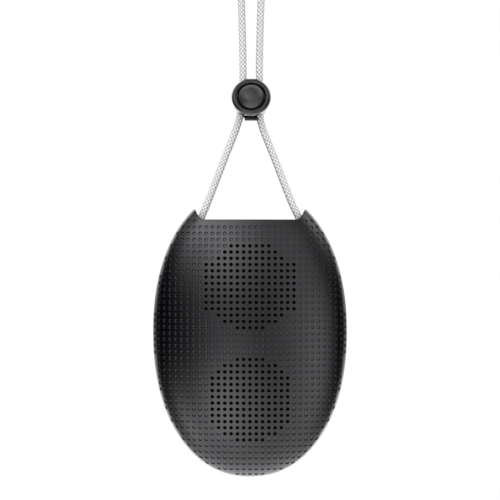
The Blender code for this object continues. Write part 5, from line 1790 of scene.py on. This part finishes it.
def make_electronics():
    board = plate("main_board_panel", rounded_rectangle(0.0440, 0.0380, 0.0012, 5), BOARD_Y,
                  BOARD_Y + BOARD_THICKNESS, board_look, at(0.0, 0.0, 0.0220), "Y", 0.0001)
    stand_for(board, "speaker", "board_laminate", "main_board")
    back = BOARD_Y + BOARD_THICKNESS
    make_small_parts(back + 0.00005)
    chip = block("amplifier_package", (0.0070, 0.0012, 0.0070), chip_look,
                 at(-0.0120, back + 0.0009, 0.0240), 0.0002, 2)
    spot = turned("pin_mark", [(0.0, -0.001), (0.0004, -0.001), (0.0004, 0.0), (0.0, 0.0)],
                  chip_look, at(-0.0145, back + 0.0016, 0.0265), "Y", 24)
    combine(chip, [spot])
    stand_for(chip, "speaker", "chip_epoxy", "amplifier_chip")
    can = block("module_can", (0.0120, 0.0020, 0.0150), can_look, at(0.0120, back + 0.0013, 0.0300),
                0.0003, 3)
    vents = [turned("vent", [(0.0, 0.0), (0.0005, 0.0), (0.0005, 0.002), (0.0, 0.002)], can_look,
                    at(0.0090 + 0.0020 * i, back + 0.0020, 0.0260 + 0.0020 * j), "Y", 20)
             for i in range(4) for j in range(5)]
    combine(can, vents)
    stand_for(can, "speaker", "shield_metal", "wireless_module")

    start = back + SEAM_GAP
    socket = plate("usb_shell", rounded_rectangle(0.0090, 0.0033, 0.0014, 8), start, 0.0212,
                   can_look, at(0.0, 0.0, PORT_Z), "Y", 0.0001)
    cavity = plate("cavity", rounded_rectangle(0.0083, 0.0026, 0.0011, 8), start + 0.0010, 0.03,
                   can_look, at(0.0, 0.0, PORT_Z), "Y", 0.0)
    combine(socket, [cavity])
    stand_for(socket, "speaker", "shield_metal", "usb_socket")
    tongue = block("usb_tongue", (0.0062, 0.0042, 0.0007), chip_look,
                   at(0.0, start + 0.0010 + 0.0022, PORT_Z), 0.0001, 2)
    stand_for(tongue, "speaker", "chip_epoxy")

    cell = block("battery_pouch", (0.0380, 0.0044, 0.0360), foil_look, at(0.0, 0.0156, -0.0220),
                 0.0011, 4)
    stand_for(cell, "speaker", "battery_wrap", "battery")
    pad = block("foam_pad", (0.0260, 0.0020, 0.0200), foam_look, at(0.0, 0.0195, -0.0220), 0.0005, 3)
    stand_for(pad, "speaker", "foam", "battery_foam")


cloth_look = woven("grille_cloth_weave", (0.0035, 0.0035, 0.0037), 0.00044)
damper_look = woven("damper_weave", (0.42, 0.27, 0.07), 0.00050, 0.7)
baffle_look = procedural("baffle_moulding", (0.045, 0.046, 0.050), 0.55, relief=0.00003, wear=0.4)
basket_look = procedural("basket_paint", (0.060, 0.061, 0.064), 0.42, 0.3, relief=0.00002, wear=0.8,
                         worn_colour=(0.35, 0.35, 0.35, 1.0))
ferrite_look = procedural("ferrite_grey", (0.045, 0.045, 0.050), 0.55, spread=0.25, grain=2600.0,
                          relief=0.00003, wear=0.5)
turned_steel_look = machined("turned_steel", (0.50, 0.51, 0.52), 0.32, 0.00018)
winding_look = machined("copper_winding", (0.72, 0.33, 0.16), 0.30, 0.00022, "Y", 0.00005)
paper_look = procedural("cone_pulp", (0.020, 0.020, 0.020), 0.85, spread=0.35, blotch=900.0,
                        grain=3800.0, relief=0.00006)
cap_look = procedural("dust_cap_pulp", (0.016, 0.016, 0.016), 0.50, spread=0.2, grain=3200.0,
                      relief=0.00002)
surround_look = procedural("surround_rubber_matt", (0.012, 0.012, 0.012), 0.58, relief=0.00002)
crimp_look = procedural("crimp_bright", (0.70, 0.68, 0.64), 0.26, 1.0, spread=0.1, blotch=1200.0,
                        relief=0.00001)
board_look = procedural("board_mask", (0.008, 0.070, 0.026), 0.36, spread=0.35, blotch=420.0,
                        grain=2000.0, relief=0.00002)
chip_look = procedural("chip_moulding", (0.013, 0.013, 0.014), 0.48, spread=0.2, relief=0.00002)
ceramic_look = procedural("part_ceramic", (0.42, 0.33, 0.22), 0.45, spread=0.2, relief=0.00001)
connector_look = procedural("connector_plastic", (0.72, 0.70, 0.62), 0.45, relief=0.00001)
solder_look = procedural("solder_bright", (0.62, 0.62, 0.63), 0.25, 1.0, spread=0.15, relief=0.00001)
can_look = procedural("can_tin", (0.66, 0.67, 0.68), 0.28, 1.0, spread=0.12, blotch=600.0,
                      relief=0.00001)
foil_look = procedural("pouch_foil", (0.50, 0.52, 0.55), 0.36, 0.7, spread=0.1, blotch=120.0,
                       grain=420.0, relief=0.00012)
foam_look = procedural("open_foam", (0.075, 0.075, 0.078), 0.95, spread=0.4, blotch=1800.0,
                       grain=2600.0, relief=0.00025)
lead_look = procedural("lead_red", (0.42, 0.012, 0.012), 0.38, spread=0.1, relief=0.00001)
lens_look = procedural("lens_clear", (0.74, 0.77, 0.79), 0.10, spread=0.04, relief=0.000004,
                       unevenness=0.03, extra={"Transmission Weight": 0.4, "IOR": 1.49})

for driver_name, driver_z in DRIVERS.items():
    make_grille_cloth(driver_name, driver_z)
    make_driver(driver_name, driver_z)
make_crimp("left", -1)
make_crimp("right", 1)
make_key_board()
make_electronics()
use(rubber_look, "seam_gasket")
use(baffle_look, "speaker_baffle")
use(lead_look, "battery_lead")


# ---- stage --------------------------------------------------------------------------------------------
STAGE_Z = -0.62
STAGE_HALF = 1.1


def make_stage():
    """A plain pale floor well below the speaker; it neither lights it nor shows in it."""
    points = [(-STAGE_HALF, -STAGE_HALF, 0.0), (STAGE_HALF, -STAGE_HALF, 0.0),
              (STAGE_HALF, STAGE_HALF, 0.0), (-STAGE_HALF, STAGE_HALF, 0.0)]
    floor = make_object("studio_floor", points, [(0, 1, 2, 3)], floor_look, Vector((0.0, 0.0, STAGE_Z)))
    floor.visible_glossy = False
    floor.visible_diffuse = False


floor_look = procedural("studio_floor_pale", (0.80, 0.80, 0.80), 0.7, spread=0.01, blotch=6.0,
                        grain=60.0, relief=0.0001, unevenness=0.03)
make_stage()
